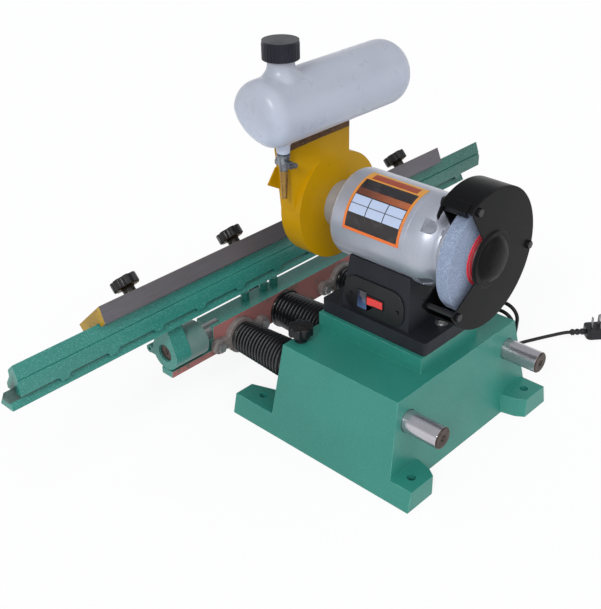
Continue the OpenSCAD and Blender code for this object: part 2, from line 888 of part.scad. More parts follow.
module bottle_cap() {
    z1 = bottle_z + bottle_r + neck_h;
    color(black) difference() {
        union() {
            z_rod(cap_r, z1, z1 + cap_h, tap_x, bottle_y);
            for (k = [0 : cap_ribs - 1]) {
                translate([tap_x, bottle_y, z1]) rotate(2 * half_turn * k / cap_ribs)
                    translate([cap_r - 0.6, -1, 0]) cube([1, 2, cap_h - 3]);
            }
        }
        z_rod(neck_out + part_gap, z1 - 1, z1 + 8 + part_gap, tap_x, bottle_y);
    }
}

module tap() {
    color(steel) difference() {
        union() {
            translate([tap_x, bottle_y, outlet_z - tap_h])
                cylinder(r1 = tap_r, r2 = tap_top - part_gap, h = tap_h - 3);
            z_rod(tap_top, outlet_z - 4, outlet_z, tap_x, bottle_y);
            y_rod(2 * plug_r, bottle_y - plug_reach, bottle_y + plug_reach, tap_x, tap_axis);
        }
        y_rod(plug_r + run_gap, bottle_y - over, bottle_y + over, tap_x, tap_axis);
        z_rod(tube_r, outlet_z - tap_h - 1, outlet_z - tap_h + 3, tap_x, bottle_y);
    }
}

module tap_wing() {
    y = bottle_y + plug_reach + part_gap;
    color(steel) union() {
        y_rod(plug_r, bottle_y - plug_reach + 2, y + 5, tap_x, tap_axis);
        translate([tap_x, 0, tap_axis]) along_y(y, y + 3) {
            circle(r = 2 * plug_r);
            for (a = [20, 200]) {
                rotate(a) translate([0, -plug_r]) square([wing_l, 2 * plug_r]);
                rotate(a) translate([wing_l, 0]) circle(r = 1.4 * plug_r);
            }
        }
    }
}

module drip_tube() {
    z = outlet_z - tap_h;
    color(copper) difference() {
        union() {
            z_rod(tube_r, z - 1, z + 3, tap_x, bottle_y);
            translate([tap_x, bottle_y, z - tube_h]) cylinder(r1 = tube_r, r2 = tube_top, h = tube_h);
        }
        z_rod(tube_r - 1, z - tube_h - 1, z + 4, tap_x, bottle_y);
    }
}

// lock and feed
module lock_knob() {
    color(black) difference() {
        union() {
            z_rod(9, shelf_h + part_gap, shelf_h + 11, lock_x, lock_y);
            translate([lock_x, lock_y, shelf_h + 10]) lobed(lock_head_r, 15, 7);
        }
        z_rod(lock_r, shelf_h - 1, shelf_h + 18, lock_x, lock_y);
    }
}

module lock_screw() {
    color(steel) z_rod(lock_r, rod_z + bush_r + part_gap, shelf_h + 18, lock_x, lock_y);
}

module crossbeam() {
    color(primer) difference() {
        union() {
            box([-beam_x, beam_y1, beam_z1], [beam_x, beam_y2, beam_z2]);
            box([-ledge_x, ledge_y, ledge_z1], [ledge_x, beam_y2, ledge_z2]);
        }
        for (x = [-rod_x, rod_x]) {
            y_rod(spigot_r, beam_y1 + 6, beam_y2 + 1, x, rod_z);
        }
        y_rod(screw_r + run_gap, beam_y1 - 1, beam_y2 + 1, feed_x, rod_z);
        both_x() x_rod(stud_r, beam_x - stud_in, beam_x + 1, pivot_y, pivot_z);
    }
}

module guide_rods() {
    color(steel) for (x = [-rod_x, rod_x]) {
        difference() {
            union() {
                y_rod(spigot_r, beam_y1 + 6, beam_y2 + 1, x, rod_z);
                y_rod(rod_r, beam_y2, rod_end - 1.5, x, rod_z);
                translate([x, rod_end - 1.5, rod_z]) rotate([-90, 0, 0])
                    cylinder(r1 = rod_r, r2 = rod_r - 1.5, h = 1.5);
            }
            translate([x, rod_end - 5, rod_z]) rotate([-90, 0, 0]) cylinder(r1 = 0.5, r2 = 5, h = 5 + eps);
        }
    }
}

module rod_flanges() {
    color(primer) for (x = [-rod_x, rod_x]) {
        translate([x, 0, rod_z]) along_y(beam_y2, beam_y2 + flange_t) difference() {
            union() {
                circle(r = flange_r);
                square([2 * ear_off, 1.6 * ear_r], center = true);
                translate([ear_off, 0]) circle(r = ear_r);
                translate([-ear_off, 0]) circle(r = ear_r);
            }
            circle(r = rod_r);
        }
    }
}

beam_bolt_x = [12, 33, 71];
beam_bolt_y = beam_y1 + 9;

module beam_bolts() {
    color(steel) {
        for (x = [-rod_x, rod_x], e = [-ear_off, ear_off]) {
            translate([x + e, beam_y2 + flange_t, rod_z]) rotate([-90, 0, 0]) hex_head(7.5, 6);
        }
        for (x = beam_bolt_x) {
            translate([x, beam_bolt_y, beam_z2]) hex_head(7, 11);
        }
    }
}

module pivot_stud() {
    thread_n = 5;
    pitch = 2;
    x1 = block_x1 - part_gap - thread_n * pitch;
    thread = [for (k = [0 : thread_n - 1]) each [[stud_r, x1 + k * pitch],
        [stud_r - 1.2, x1 + (k + 0.5) * pitch]]];
    root = beam_x - stud_in;
    profile = concat([[0, root], [stud_r, root]], thread, [[stud_r, block_x1 - part_gap],
        [pin_r, block_x1 - part_gap], [pin_r, block_x2 - sink_deep + part_gap],
        [sink_r - 1.5, block_x2 - sink_deep + part_gap], [sink_r - 1.5, block_x2 - 3], [4, block_x2 - 3],
        [3, block_x2 - 5], [0, block_x2 - 5]]);
    translate([0, pivot_y, pivot_z]) rotate([0, 90, 0]) rotate_extrude() polygon(profile);
}

module pivot_studs() {
    color(steel) both_x() pivot_stud();
}

module bellows(x, r, lip, y1, y2) {
    step = (y2 - y1 - 2 * cuff) / bellows_ribs;
    low = r - bellows_deep;
    bore = low - bellows_wall;
    wide = bellows_grow / bellows_ribs;
    far = low + bellows_grow;
    y0 = y1 + cuff;
    outer = [for (k = [0 : bellows_ribs - 1]) each [[low + wide * k, y0 + k * step],
        [r + wide * (k + 0.5), y0 + (k + 0.5) * step]]];
    inner = [for (k = [bellows_ribs - 1 : -1 : 0]) each [
        [r + wide * (k + 0.5) - bellows_wall, y0 + (k + 0.5) * step], [bore + wide * k, y0 + k * step]]];
    color(black) y_turned(concat([[bore, y1], [lip, y1], [lip, y0 - 0.5]], outer,
        [[far, y2 - cuff], [far + 2, y2 - cuff], [far + 2, y2], [far - bellows_wall, y2],
        [far - bellows_wall, y2 - cuff]], inner), x, rod_z);
}

rod_face = beam_y2 + flange_t;
function base_face(r) = front_y - front_lean * (shelf_h - rod_z + r + bellows_grow) / shelf_h;

module bellows_near() {
    bellows(rod_x, bellows_r, bellows_r - lip_over, rod_face, base_face(bellows_r));
}

module bellows_mid() {
    bellows(feed_x, feed_bellows_r, feed_bellows_r + lip_over, beam_y2, base_face(feed_bellows_r));
}

module bellows_far() {
    bellows(-rod_x, bellows_r, bellows_r - lip_over, rod_face, base_face(bellows_r));
}

module feed_screw() {
    color(steel) {
        y_rod(screw_r, beam_y1 - 28, front_y + nut_l + 12, feed_x, rod_z);
        y_rod(screw_r + 5, beam_y1 - 9, beam_y1 - part_gap, feed_x, rod_z);
    }
}

module feed_knob() {
    color(black) translate([feed_x, beam_y1 - 9, rod_z]) rotate([90, 0, 0]) difference() {
        lobed(24, 18, 8);
        translate([0, 0, -1]) cylinder(r = screw_r, h = 22);
    }
}

// pivot blocks, rail, carriage, clamp
module pivot_block() {
    difference() {
        union() {
            x_rod(block_r, block_x1, block_x2, pivot_y, pivot_z);
            along_x(column_x1, block_x2) polygon([[rail_y - 1.5, rail_z], [pivot_y + 23.4, pivot_z + 9],
                [pivot_y, pivot_z], [pivot_y - 24.8, pivot_z - 3], [rail_y - 21, rail_z]]);
            along_x(block_x2 - 9, block_x2) {
                translate([pivot_y - 34, pivot_z - 7]) circle(r = 6);
                translate([pivot_y - 34, pivot_z - 12]) square([20, 10]);
            }
        }
        x_rod(pin_r + run_gap, block_x1 - 1, block_x2 + 1, pivot_y, pivot_z);
        x_rod(sink_r, block_x2 - sink_deep, block_x2 + 1, pivot_y, pivot_z);
        x_rod(2.5, block_x2 - 10, block_x2 + 1, pivot_y - 34, pivot_z - 7);
    }
}

module pivot_blocks() {
    color(green) both_x() pivot_block();
}

module rail() {
    color(green) along_x(rail_shift - rail_l / 2, rail_shift + rail_l / 2) translate([rail_y, rail_z])
        polygon([[-rail_half, 0], [rail_half, 0], [rail_top_half, rail_top], [-rail_top_half, rail_top]]);
}

module carriage_section() {
    low_in = rail_half - flank * skirt_w + ride_gap;
    top_in = rail_top_half + ride_gap;
    polygon([[low_in, skirt_w], [skirt_half, skirt_w], [skirt_half, crease_z - 5],
        [skirt_half - 1.5, crease_z - 0.5], [crease_half, crease_z], [crease_half + 1.3, crease_z + 1.5],
        [fin_half, fin_top], [-fin_half, seat_low],
        [-fin_half, crease_z - 1], [-skirt_half, rail_top + 1], [-skirt_half, skirt_w], [-low_in, skirt_w],
        [-top_in, rail_top + ride_gap], [top_in, rail_top + ride_gap]]);
}

module scallop(x) {
    long = pad_pitch - pad_len;
    z = rail_z + skirt_w;
    r = scallop_h;
    intersection() {
        box([x - long, rail_y - 30, z - 1], [x + long, rail_y + 30, z + r]);
        union() {
            box([x - long / 2 + r, rail_y - 30, z - 1], [x + long / 2 - r, rail_y + 30, z + r]);
            y_rod(r, rail_y - 30, rail_y + 30, x - long / 2 + r, z);
            y_rod(r, rail_y - 30, rail_y + 30, x + long / 2 - r, z);
        }
    }
}

pad_count = ceil(carriage_l / pad_pitch / 2);

module clamp_frame(x) {
    translate([x, seat_y, seat_z]) rotate([clamp_a, 0, 0]) children();
}

knob_x = [for (k = [0 : knob_n - 1]) (k - (knob_n - 1) / 2) * knob_pitch];

module carriage() {
    color(green) difference() {
        along_x(-carriage_l / 2, carriage_l / 2) translate([rail_y, rail_z]) carriage_section();
        for (k = [-pad_count : pad_count]) {
            if ((abs(k) - 0.5) * pad_pitch + 2 * pad_len < carriage_l / 2) {
                scallop(k * pad_pitch);
            }
        }
        for (x = knob_x) {
            clamp_frame(x) translate([0, 0, -stud_deep - 0.5])
                cylinder(r = stud_hole + run_gap, h = stud_deep + 5);
        }
    }
}

module clamp_bar() {
    color(yellow) difference() {
        clamp_frame(0) along_x(-bar_l / 2, bar_l / 2) polygon([[bar_low, bar_gap], [nose_in, bar_gap],
            [nose_in + 1, -nose_deep], [bar_foot, -nose_deep], [bar_nose, bar_t], [bar_low, bar_t]]);
        for (x = knob_x) {
            clamp_frame(x) translate([0, 0, -5]) cylinder(r = stud_hole + run_gap, h = bar_t + 10);
        }
    }
}

module clamp_knob(x) {
    clamp_frame(x) {
        color(black) translate([0, 0, bar_t + part_gap]) cylinder(r = 9, h = hub_h + 1);
        color(black) translate([0, 0, bar_t + part_gap + hub_h]) lobed(knob_d / 2, head_h, 7);
        color(steel) translate([0, 0, -stud_deep]) cylinder(r = stud_hole, h = stud_deep + bar_t + hub_h);
    }
}

module clamp_knob_1() {
    clamp_knob(knob_x[0]);
}

module clamp_knob_2() {
    clamp_knob(knob_x[1]);
}

module clamp_knob_3() {
    clamp_knob(knob_x[2]);
}

module clamp_knob_4() {
    clamp_knob(knob_x[3]);
}

// cord, loops and plug
module cord_gland() {
    color(black) {
        x_rod(6, gland_x - 1, gland_x + ped_wall, gland_y, gland_z);
        x_rod(8, gland_x - 5, gland_x, gland_y, gland_z);
        translate([gland_x - 5, gland_y, gland_z]) rotate([0, -90, 0])
            cylinder(r1 = 6.5, r2 = cord_r + 1.4, h = gland_l);
    }
}

function wall_x(z) = -(floor_half_w - lean * z) - cord_r - wall_gap;
function loop_point(t, a, side) = let (low = side > 0 ? loop_drop * (loop_n - t) : 0,
    z = loop_mid + loop_half * sin(a) + side * loop_run / 2 - low)
    [wall_x(z) - loop_pitch * t, loop_y + loop_half * cos(a) + loop_slant * (z - loop_mid), z];
function one_loop(n) = [
    for (k = [0 : loop_steps / 2])
        loop_point(n + k / loop_steps / 2.2, half_turn * (1.5 + k / loop_steps), -1),
    for (k = [0 : loop_steps]) loop_point(n + 0.28 + k / loop_steps / 2.2, half_turn * k / loop_steps, 1),
    for (k = [0 : loop_steps / 2 - 1])
        loop_point(n + 0.79 + k / loop_steps / 2.2, half_turn * (1 + k / loop_steps), -1)];
hank_start = loop_point(0, 1.5 * half_turn, -1);
hank_turns = [for (n = [0 : loop_n - 1]) each one_loop(n)];
hank_keep = len(hank_turns) - loop_steps / 2;
hank_last = hank_turns[hank_keep - 1];
hank_dir = unit(hank_turns[hank_keep] - hank_last);
hank_end = hank_last + hank_dir * loop_run / 2;
hank_points = concat([hank_start - [0, cord_d, 0]],
    [for (k = [0 : hank_keep - 1]) hank_turns[k]], [hank_end]);

function least_gap(p, skip) = min([for (i = [0 : len(p) - 1]) for (j = [i + skip : 1 : len(p) - 1])
    norm(p[i] - p[j])]);

module cord_hank() {
    color(black) tube(hank_points, cord_r, 6, [1, 0, 0]);
}

lead_start = [gland_x - gland_l - 5, gland_y, gland_z];
lead_points = concat([lead_start, lead_start - [cord_d, 0, 0]], lead_route, [hank_start - [0, 2 * cord_d, 0],
    hank_start - [0, cord_d, 0]]);
plug_dir = [cos(plug_turn), sin(plug_turn), 0];
plug_in = plug_at + [0, 0, plug_h / 2];
tail_points = concat([hank_end, hank_end + hank_dir * cord_d], tail_route,
    [plug_in - plug_dir * cord_d, plug_in]);

module cord_lead() {
    color(black) tube(smooth(lead_points, 3), cord_r, 8, [0, 0, 1]);
}

module cord_tail() {
    color(black) tube(smooth(tail_points, 3), cord_r, 8, [0, 1, 0]);
}

module cord_tie() {
    z = loop_mid - 18;
    y = loop_y + loop_half + loop_slant * (z - loop_mid);
    x2 = wall_x(z) + cord_r + 0.2;
    x1 = x2 - (loop_n - 0.4) * loop_pitch - cord_d;
    color(black) difference() {
        box([x1 - 1.5, y - cord_r - 2.5, z - 3], [x2 + 0.8, y + cord_r + 2.5, z + 3]);
        box([x1, y - cord_r - 1, z - 4], [x2, y + cord_r + 1, z + 4]);
    }
}

module plug_frame() {
    translate(plug_at) rotate(plug_turn) children();
}

module plug() {
    ribs = 3;
    color(black) plug_frame() {
        difference() {
            translate([relief_l + plug_l / 2, 0, 0]) linear_extrude(height = plug_h)
                soft_square(plug_l, plug_w, 7);
            for (p = pin_places) {
                translate([p[0], p[1], plug_h - 3]) rotate(p[2]) pin_blank(3 + eps);
            }
        }
        x_rod(cord_r + 1.2, 0, relief_l + 2, 0, plug_h / 2);
        for (k = [0 : ribs - 1]) {
            x_rod(cord_r + 2.4, 1.5 + k * rib_pitch, 5.5 + k * rib_pitch, 0, plug_h / 2);
        }
    }
}

pin_places = [[relief_l + 10, 0, 90], [relief_l + 24, 8, 30], [relief_l + 24, -8, -30]];

module pin_blank(h) {
    translate([-3, -0.8, 0]) cube([6, 1.6, h]);
}

module plug_pins() {
    color(steel) plug_frame() for (p = pin_places) {
        translate([p[0], p[1], plug_h - 3]) rotate(p[2]) pin_blank(pin_h + 3);
    }
}

echo(hank_gap = least_gap(hank_points, 8) - cord_d);
echo(cord_length = path_len(hank_points) + path_len(smooth(lead_points, 3))
    + path_len(smooth(tail_points, 3)));

base();
rod_bushes();
feed_nut();
pedestal();
pedestal_screws();
motor_shell();
bell_outer();
bell_inner();
stator();
windings();
bearings();
switch_body();
switch_plate();
label();
rocker();
shaft();
rotor();
wheel();
blotter();
wheel_flanges();
spindle_nuts();
cup_wheel();
guard_back();
guard_cover();
guard_bolts();
spark_plate();
splash_guard();
bottle_pad();
bottle();
bottle_cap();
tap();
tap_wing();
drip_tube();
lock_knob();
lock_screw();
crossbeam();
guide_rods();
rod_flanges();
beam_bolts();
pivot_studs();
bellows_near();
bellows_mid();
bellows_far();
feed_screw();
feed_knob();
pivot_blocks();
rail();
carriage();
clamp_bar();
clamp_knob_1();
clamp_knob_2();
clamp_knob_3();
clamp_knob_4();
cord_gland();
cord_lead();
cord_hank();
cord_tie();
cord_tail();
plug();
plug_pins();
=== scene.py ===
import json
import math

import bmesh
import bpy
from mathutils import Matrix, Vector


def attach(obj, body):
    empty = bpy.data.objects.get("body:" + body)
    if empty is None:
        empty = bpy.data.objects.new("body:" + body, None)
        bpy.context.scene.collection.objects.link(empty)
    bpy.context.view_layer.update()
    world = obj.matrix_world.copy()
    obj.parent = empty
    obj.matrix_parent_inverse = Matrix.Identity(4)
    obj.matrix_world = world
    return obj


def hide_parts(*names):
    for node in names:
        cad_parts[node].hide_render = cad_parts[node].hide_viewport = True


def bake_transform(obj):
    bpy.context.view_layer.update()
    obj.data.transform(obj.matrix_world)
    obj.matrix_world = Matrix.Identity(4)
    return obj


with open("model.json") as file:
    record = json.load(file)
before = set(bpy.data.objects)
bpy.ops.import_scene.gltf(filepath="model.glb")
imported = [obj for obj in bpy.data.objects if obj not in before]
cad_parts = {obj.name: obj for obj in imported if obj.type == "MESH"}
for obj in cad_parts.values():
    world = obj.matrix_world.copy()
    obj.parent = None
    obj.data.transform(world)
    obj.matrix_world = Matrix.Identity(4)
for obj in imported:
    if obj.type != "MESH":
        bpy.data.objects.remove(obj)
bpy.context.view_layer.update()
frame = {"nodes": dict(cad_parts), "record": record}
cadNodes = frame["nodes"]
bodies = frame["record"]["behaviour"]["bodies"]
bodyOf = {node: body for body, names in bodies.items() for node in names}
scene = bpy.context.scene
scene.view_settings.view_transform = "Standard"
mm = 0.001
tiny = 1e-6  # in m, well under any real gap
spindleZ = 0.293  # height of the motor's axis, which runs along y
print("frame loaded,", len(cadNodes), "nodes")


# a colour as a screen shows it, in the linear values that shaders take
def tint(red, green, blue):
    return tuple(((c / 255 + 0.055) / 1.055) ** 2.4 for c in (red, green, blue)) + (1,)


def inMetres(place):
    return tuple(c * mm for c in place)


# camera at the photograph's spot; focus is in pixels of a picture with that many rows
photoCamera = {"spot": (0.9189, 0.7026, 0.8570), "yaw": 133.9, "pitch": 30.6, "roll": -1.1,
               "focus": 989.7, "rows": 609, "sensor": 36, "farthest": 100}


def placeCamera(look):
    yaw, pitch, roll = (math.radians(look[k]) for k in ("yaw", "pitch", "roll"))
    flat = math.cos(pitch)
    back = Vector((math.sin(yaw) * flat, -math.cos(yaw) * flat, math.sin(pitch)))
    right = Vector((math.cos(yaw), math.sin(yaw), 0))
    up = back.cross(right)
    side = math.cos(roll) * right + math.sin(roll) * up
    top = math.cos(roll) * up - math.sin(roll) * right
    data = bpy.data.cameras.new("photoCamera")
    data.sensor_fit = "VERTICAL"
    data.sensor_height = look["sensor"]
    data.lens = look["focus"] * look["sensor"] / look["rows"]
    data.clip_end = look["farthest"]
    obj = bpy.data.objects.new("photoCamera", data)
    turn = Matrix((side, top, back)).transposed().to_4x4()
    obj.matrix_world = Matrix.Translation(look["spot"]) @ turn
    scene.collection.objects.link(obj)
    scene.camera = obj


placeCamera(photoCamera)
print("camera placed")


# shader helpers
def addNode(tree, kind, inputs=None, **settings):
    node = tree.nodes.new(kind)
    for key, value in settings.items():
        setattr(node, key, value)
    for key, value in (inputs or {}).items():
        if isinstance(value, bpy.types.NodeSocket):
            tree.links.new(value, node.inputs[key])
        else:
            node.inputs[key].default_value = value
    return node


def newFinish(name):
    mat = bpy.data.materials.new(name)
    mat.use_nodes = True
    tree = mat.node_tree
    where = tree.nodes.new("ShaderNodeTexCoord").outputs["Object"]
    return mat, tree, tree.nodes["Principled BSDF"], where


def grain(tree, where, scale, detail=3, stretch=None):
    if stretch:
        where = addNode(tree, "ShaderNodeMapping", {"Vector": where, "Scale": stretch}).outputs[0]
    noise = {"Vector": where, "Scale": scale, "Detail": detail}
    return addNode(tree, "ShaderNodeTexNoise", noise).outputs[0]


def spread(tree, value, low, high, toLow=0.0, toHigh=1.0):
    limits = {"Value": value, "From Min": low, "From Max": high, "To Min": toLow, "To Max": toHigh}
    return addNode(tree, "ShaderNodeMapRange", limits).outputs[0]


def sums(tree, operation, first, second=0.0):
    return addNode(tree, "ShaderNodeMath", {0: first, 1: second}, operation=operation).outputs[0]


def within(tree, value, low, high):
    above = sums(tree, "GREATER_THAN", value, low)
    return sums(tree, "MULTIPLY", above, sums(tree, "LESS_THAN", value, high))


def blendColour(tree, share, first, second):
    mixed = {0: share, 6: first, 7: second}
    return addNode(tree, "ShaderNodeMix", mixed, data_type="RGBA").outputs[2]


def dent(tree, bsdf, height, strength, depth):
    relief = {"Height": height, "Strength": strength, "Distance": depth}
    bump = addNode(tree, "ShaderNodeBump", relief)
    tree.links.new(bump.outputs[0], bsdf.inputs["Normal"])


# sprayed, moulded and rubber skins; each grain is a scale and a detail, each span its limits
coatGrain = {"cloudSpan": (0.35, 0.65), "speckDetail": 2, "speckSoft": 0.05, "chipAndGlint": (70, 5),
             "chipAndGlintSpan": (0.42, 0.62, 0.15, 1), "smear": (22, 4), "smearSpan": (0.3, 0.7),
             "smoother": 0.06, "rougher": 0.08, "peelDetail": 2}


def coated(name, look):
    mat, tree, bsdf, where = newFinish(name)
    cloud = spread(tree, grain(tree, where, look["cloud"]), *coatGrain["cloudSpan"])
    colour = blendColour(tree, cloud, look["colour"], look["shade"])
    # where a far colour is given, the colour turns to it towards the far end along x
    if "farShade" in look:
        along = addNode(tree, "ShaderNodeSeparateXYZ", {0: where}).outputs[0]
        far = spread(tree, along, *look["farReach"])
        colour = blendColour(tree, far, look["farShade"], colour)
    speck = grain(tree, where, look["speckScale"], coatGrain["speckDetail"])
    speck = spread(tree, speck, look["speckFrom"], look["speckFrom"] + coatGrain["speckSoft"])
    speck = sums(tree, "MULTIPLY", speck, look["speckShare"])
    colour = blendColour(tree, speck, colour, look["speck"])
    # rounded outer edges take the worn colour: partly real chips and rubbed paint, partly painted
    # highlight along the edges
    edge = addNode(tree, "ShaderNodeAttribute", attribute_name="edgeWearAndGlint").outputs["Fac"]
    chipsAndGlints = spread(tree, grain(tree, where, *coatGrain["chipAndGlint"]), *coatGrain["chipAndGlintSpan"])
    wornAndGlint = sums(tree, "MULTIPLY", sums(tree, "MULTIPLY", edge, chipsAndGlints), look["wornAndGlintShare"])
    tree.links.new(blendColour(tree, wornAndGlint, colour, look["wornAndGlint"]), bsdf.inputs["Base Color"])
    rough = (look["rough"] - coatGrain["smoother"], look["rough"] + coatGrain["rougher"])
    smear = spread(tree, grain(tree, where, *coatGrain["smear"]), *coatGrain["smearSpan"], *rough)
    tree.links.new(smear, bsdf.inputs["Roughness"])
    bsdf.inputs["Metallic"].default_value = look.get("metal", 0)
    bsdf.inputs["Coat Weight"].default_value = look.get("coat", 0)
    bsdf.inputs["Specular IOR Level"].default_value = look.get("shine", 0.5)
    peel = grain(tree, where, look["peel"], coatGrain["peelDetail"])
    dent(tree, bsdf, peel, look["peelStrength"], look["peelDepth"])
    return mat


# machined metal: fine lines along one axis, and stains
metalGrain = {"lineDetail": 3, "lineSpan": (0.3, 0.7), "stainDetail": 4, "stainSpan": (0.4, 0.68),
              "roughSpan": (0.2, 0.8), "smoother": 0.06, "rougher": 0.1}


def machined(name, look):
    mat, tree, bsdf, where = newFinish(name)
    lines = grain(tree, where, look["lineScale"], metalGrain["lineDetail"], look["lineStretch"])
    stain = grain(tree, where, look["stain"], metalGrain["stainDetail"])
    stain = spread(tree, stain, *metalGrain["stainSpan"])
    tone = spread(tree, lines, *metalGrain["lineSpan"])
    colour = blendColour(tree, tone, look["colour"], look["shade"])
    stain = sums(tree, "MULTIPLY", stain, look["stainShare"])
    tree.links.new(blendColour(tree, stain, colour, look["dirt"]), bsdf.inputs["Base Color"])
    rough = (look["rough"] - metalGrain["smoother"], look["rough"] + metalGrain["rougher"])
    tree.links.new(spread(tree, lines, *metalGrain["roughSpan"], *rough), bsdf.inputs["Roughness"])
    bsdf.inputs["Metallic"].default_value = look.get("metal", 1)
    dent(tree, bsdf, lines, look["lineStrength"], look["lineDepth"])
    return mat


greenEnamel = coated("greenEnamel", {
    "colour": tint(42, 126, 113), "shade": tint(37, 118, 106), "cloud": 9,
    "speck": tint(80, 160, 146), "speckScale": 700, "speckFrom": 0.6, "speckShare": 0.3,
    "wornAndGlint": tint(116, 188, 172), "wornAndGlintShare": 0.45, "rough": 0.38,
    "peel": 420, "peelStrength": 0.25, "peelDepth": 0.0005})
railEnamel = coated("railEnamel", {
    "colour": tint(44, 126, 115), "shade": tint(38, 117, 107), "cloud": 7,
    # darker towards the far end, towards -x
    "farShade": tint(24, 84, 74), "farReach": (-0.42, -0.02),
    "speck": tint(128, 190, 180), "speckScale": 760, "speckFrom": 0.57, "speckShare": 0.3,
    "wornAndGlint": tint(120, 186, 172), "wornAndGlintShare": 0.35, "rough": 0.36,
    "peel": 460, "peelStrength": 0.4, "peelDepth": 0.0006})
blockEnamel = coated("blockEnamel", {
    "colour": tint(98, 122, 119), "shade": tint(80, 116, 110), "cloud": 34,
    "speck": tint(112, 118, 118), "speckScale": 260, "speckFrom": 0.58, "speckShare": 0.35,
    "wornAndGlint": tint(150, 166, 160), "wornAndGlintShare": 0.4, "rough": 0.42,
    "peel": 300, "peelStrength": 0.3, "peelDepth": 0.0006})
rustPrimer = coated("rustPrimer", {
    "colour": tint(162, 100, 97), "shade": tint(138, 96, 93), "cloud": 14,
    "speck": tint(84, 96, 84), "speckScale": 60, "speckFrom": 0.60, "speckShare": 0.6,
    "wornAndGlint": tint(160, 120, 114), "wornAndGlintShare": 0.4, "rough": 0.6,
    "peel": 300, "peelStrength": 0.4, "peelDepth": 0.0008})
guardBlack = coated("guardBlack", {
    "colour": tint(17, 17, 18), "shade": tint(21, 21, 22), "cloud": 11, "shine": 0.06,
    "speck": tint(38, 38, 40), "speckScale": 380, "speckFrom": 0.68, "speckShare": 0.25,
    "wornAndGlint": tint(52, 52, 54), "wornAndGlintShare": 0.4, "rough": 0.3,
    "peel": 700, "peelStrength": 0.2, "peelDepth": 0.0003})
pedestalBlack = coated("pedestalBlack", {
    "colour": tint(29, 31, 37), "shade": tint(36, 38, 45), "cloud": 16, "shine": 0.25,
    "speck": tint(54, 57, 64), "speckScale": 620, "speckFrom": 0.64, "speckShare": 0.3,
    "wornAndGlint": tint(74, 76, 86), "wornAndGlintShare": 0.4, "rough": 0.5,
    "peel": 800, "peelStrength": 0.5, "peelDepth": 0.0005})
silverHammer = coated("silverHammer", {
    "colour": tint(172, 176, 188), "shade": tint(162, 167, 180), "cloud": 18,
    "speck": tint(204, 206, 213), "speckScale": 900, "speckFrom": 0.6, "speckShare": 0.3,
    "wornAndGlint": tint(214, 216, 222), "wornAndGlintShare": 0.4, "rough": 0.34, "metal": 0.5, "coat": 0.25,
    "peel": 260, "peelStrength": 0.12, "peelDepth": 0.0005})
yellowEnamel = coated("yellowEnamel", {
    "colour": tint(188, 143, 0), "shade": tint(176, 132, 0), "cloud": 8, "shine": 0.14,
    "speck": tint(150, 106, 4), "speckScale": 120, "speckFrom": 0.67, "speckShare": 0.25,
    "wornAndGlint": tint(216, 172, 34), "wornAndGlintShare": 0.45, "rough": 0.34,
    "peel": 330, "peelStrength": 0.2, "peelDepth": 0.0005})
chippedYellow = coated("chippedYellow", {
    "colour": tint(172, 136, 8), "shade": tint(150, 116, 12), "cloud": 30,
    "speck": tint(92, 74, 52), "speckScale": 130, "speckFrom": 0.62, "speckShare": 0.7,
    "wornAndGlint": tint(112, 92, 52), "wornAndGlintShare": 0.8, "rough": 0.42,
    "peel": 240, "peelStrength": 0.3, "peelDepth": 0.0006})
mouldedBlack = coated("mouldedBlack", {
    "colour": tint(15, 15, 18), "shade": tint(20, 20, 24), "cloud": 30, "shine": 0.35,
    "speck": tint(34, 34, 38), "speckScale": 900, "speckFrom": 0.66, "speckShare": 0.3,
    "wornAndGlint": tint(46, 46, 52), "wornAndGlintShare": 0.4, "rough": 0.32,
    "peel": 1100, "peelStrength": 0.25, "peelDepth": 0.0002})
bellowsRubber = coated("bellowsRubber", {
    "colour": tint(20, 20, 22), "shade": tint(28, 28, 31), "cloud": 26, "shine": 0.7,
    "speck": tint(44, 44, 46), "speckScale": 260, "speckFrom": 0.66, "speckShare": 0.2,
    "wornAndGlint": tint(40, 40, 44), "wornAndGlintShare": 0.3, "rough": 0.22,
    "peel": 700, "peelStrength": 0.15, "peelDepth": 0.0002})
cordRubber = coated("cordRubber", {
    "colour": tint(14, 14, 15), "shade": tint(20, 20, 22), "cloud": 40, "shine": 0.3,
    "speck": tint(36, 36, 38), "speckScale": 500, "speckFrom": 0.67, "speckShare": 0.3,
    "wornAndGlint": tint(40, 40, 44), "wornAndGlintShare": 0.3, "rough": 0.44,
    "peel": 900, "peelStrength": 0.2, "peelDepth": 0.0002})
rockerRed = coated("rockerRed", {
    "colour": tint(222, 34, 26), "shade": tint(206, 24, 20), "cloud": 120,
    "speck": tint(245, 90, 76), "speckScale": 700, "speckFrom": 0.66, "speckShare": 0.4,
    "wornAndGlint": tint(240, 90, 80), "wornAndGlintShare": 0.4, "rough": 0.22, "coat": 0.4,
    "peel": 900, "peelStrength": 0.1, "peelDepth": 0.0002})
capNavy = coated("capNavy", {
    "colour": tint(20, 21, 31), "shade": tint(26, 27, 39), "cloud": 60, "shine": 0.25,
    "speck": tint(40, 42, 54), "speckScale": 800, "speckFrom": 0.66, "speckShare": 0.3,
    "wornAndGlint": tint(52, 55, 72), "wornAndGlintShare": 0.4, "rough": 0.34,
    "peel": 1000, "peelStrength": 0.2, "peelDepth": 0.0002})
pocketGrey = coated("pocketGrey", {
    "colour": tint(118, 122, 132), "shade": tint(98, 102, 112), "cloud": 90,
    "speck": tint(150, 154, 164), "speckScale": 900, "speckFrom": 0.62, "speckShare": 0.3,
    "wornAndGlint": tint(160, 164, 172), "wornAndGlintShare": 0.4, "rough": 0.4, "metal": 0.4,
    "peel": 400, "peelStrength": 0.2, "peelDepth": 0.0005})
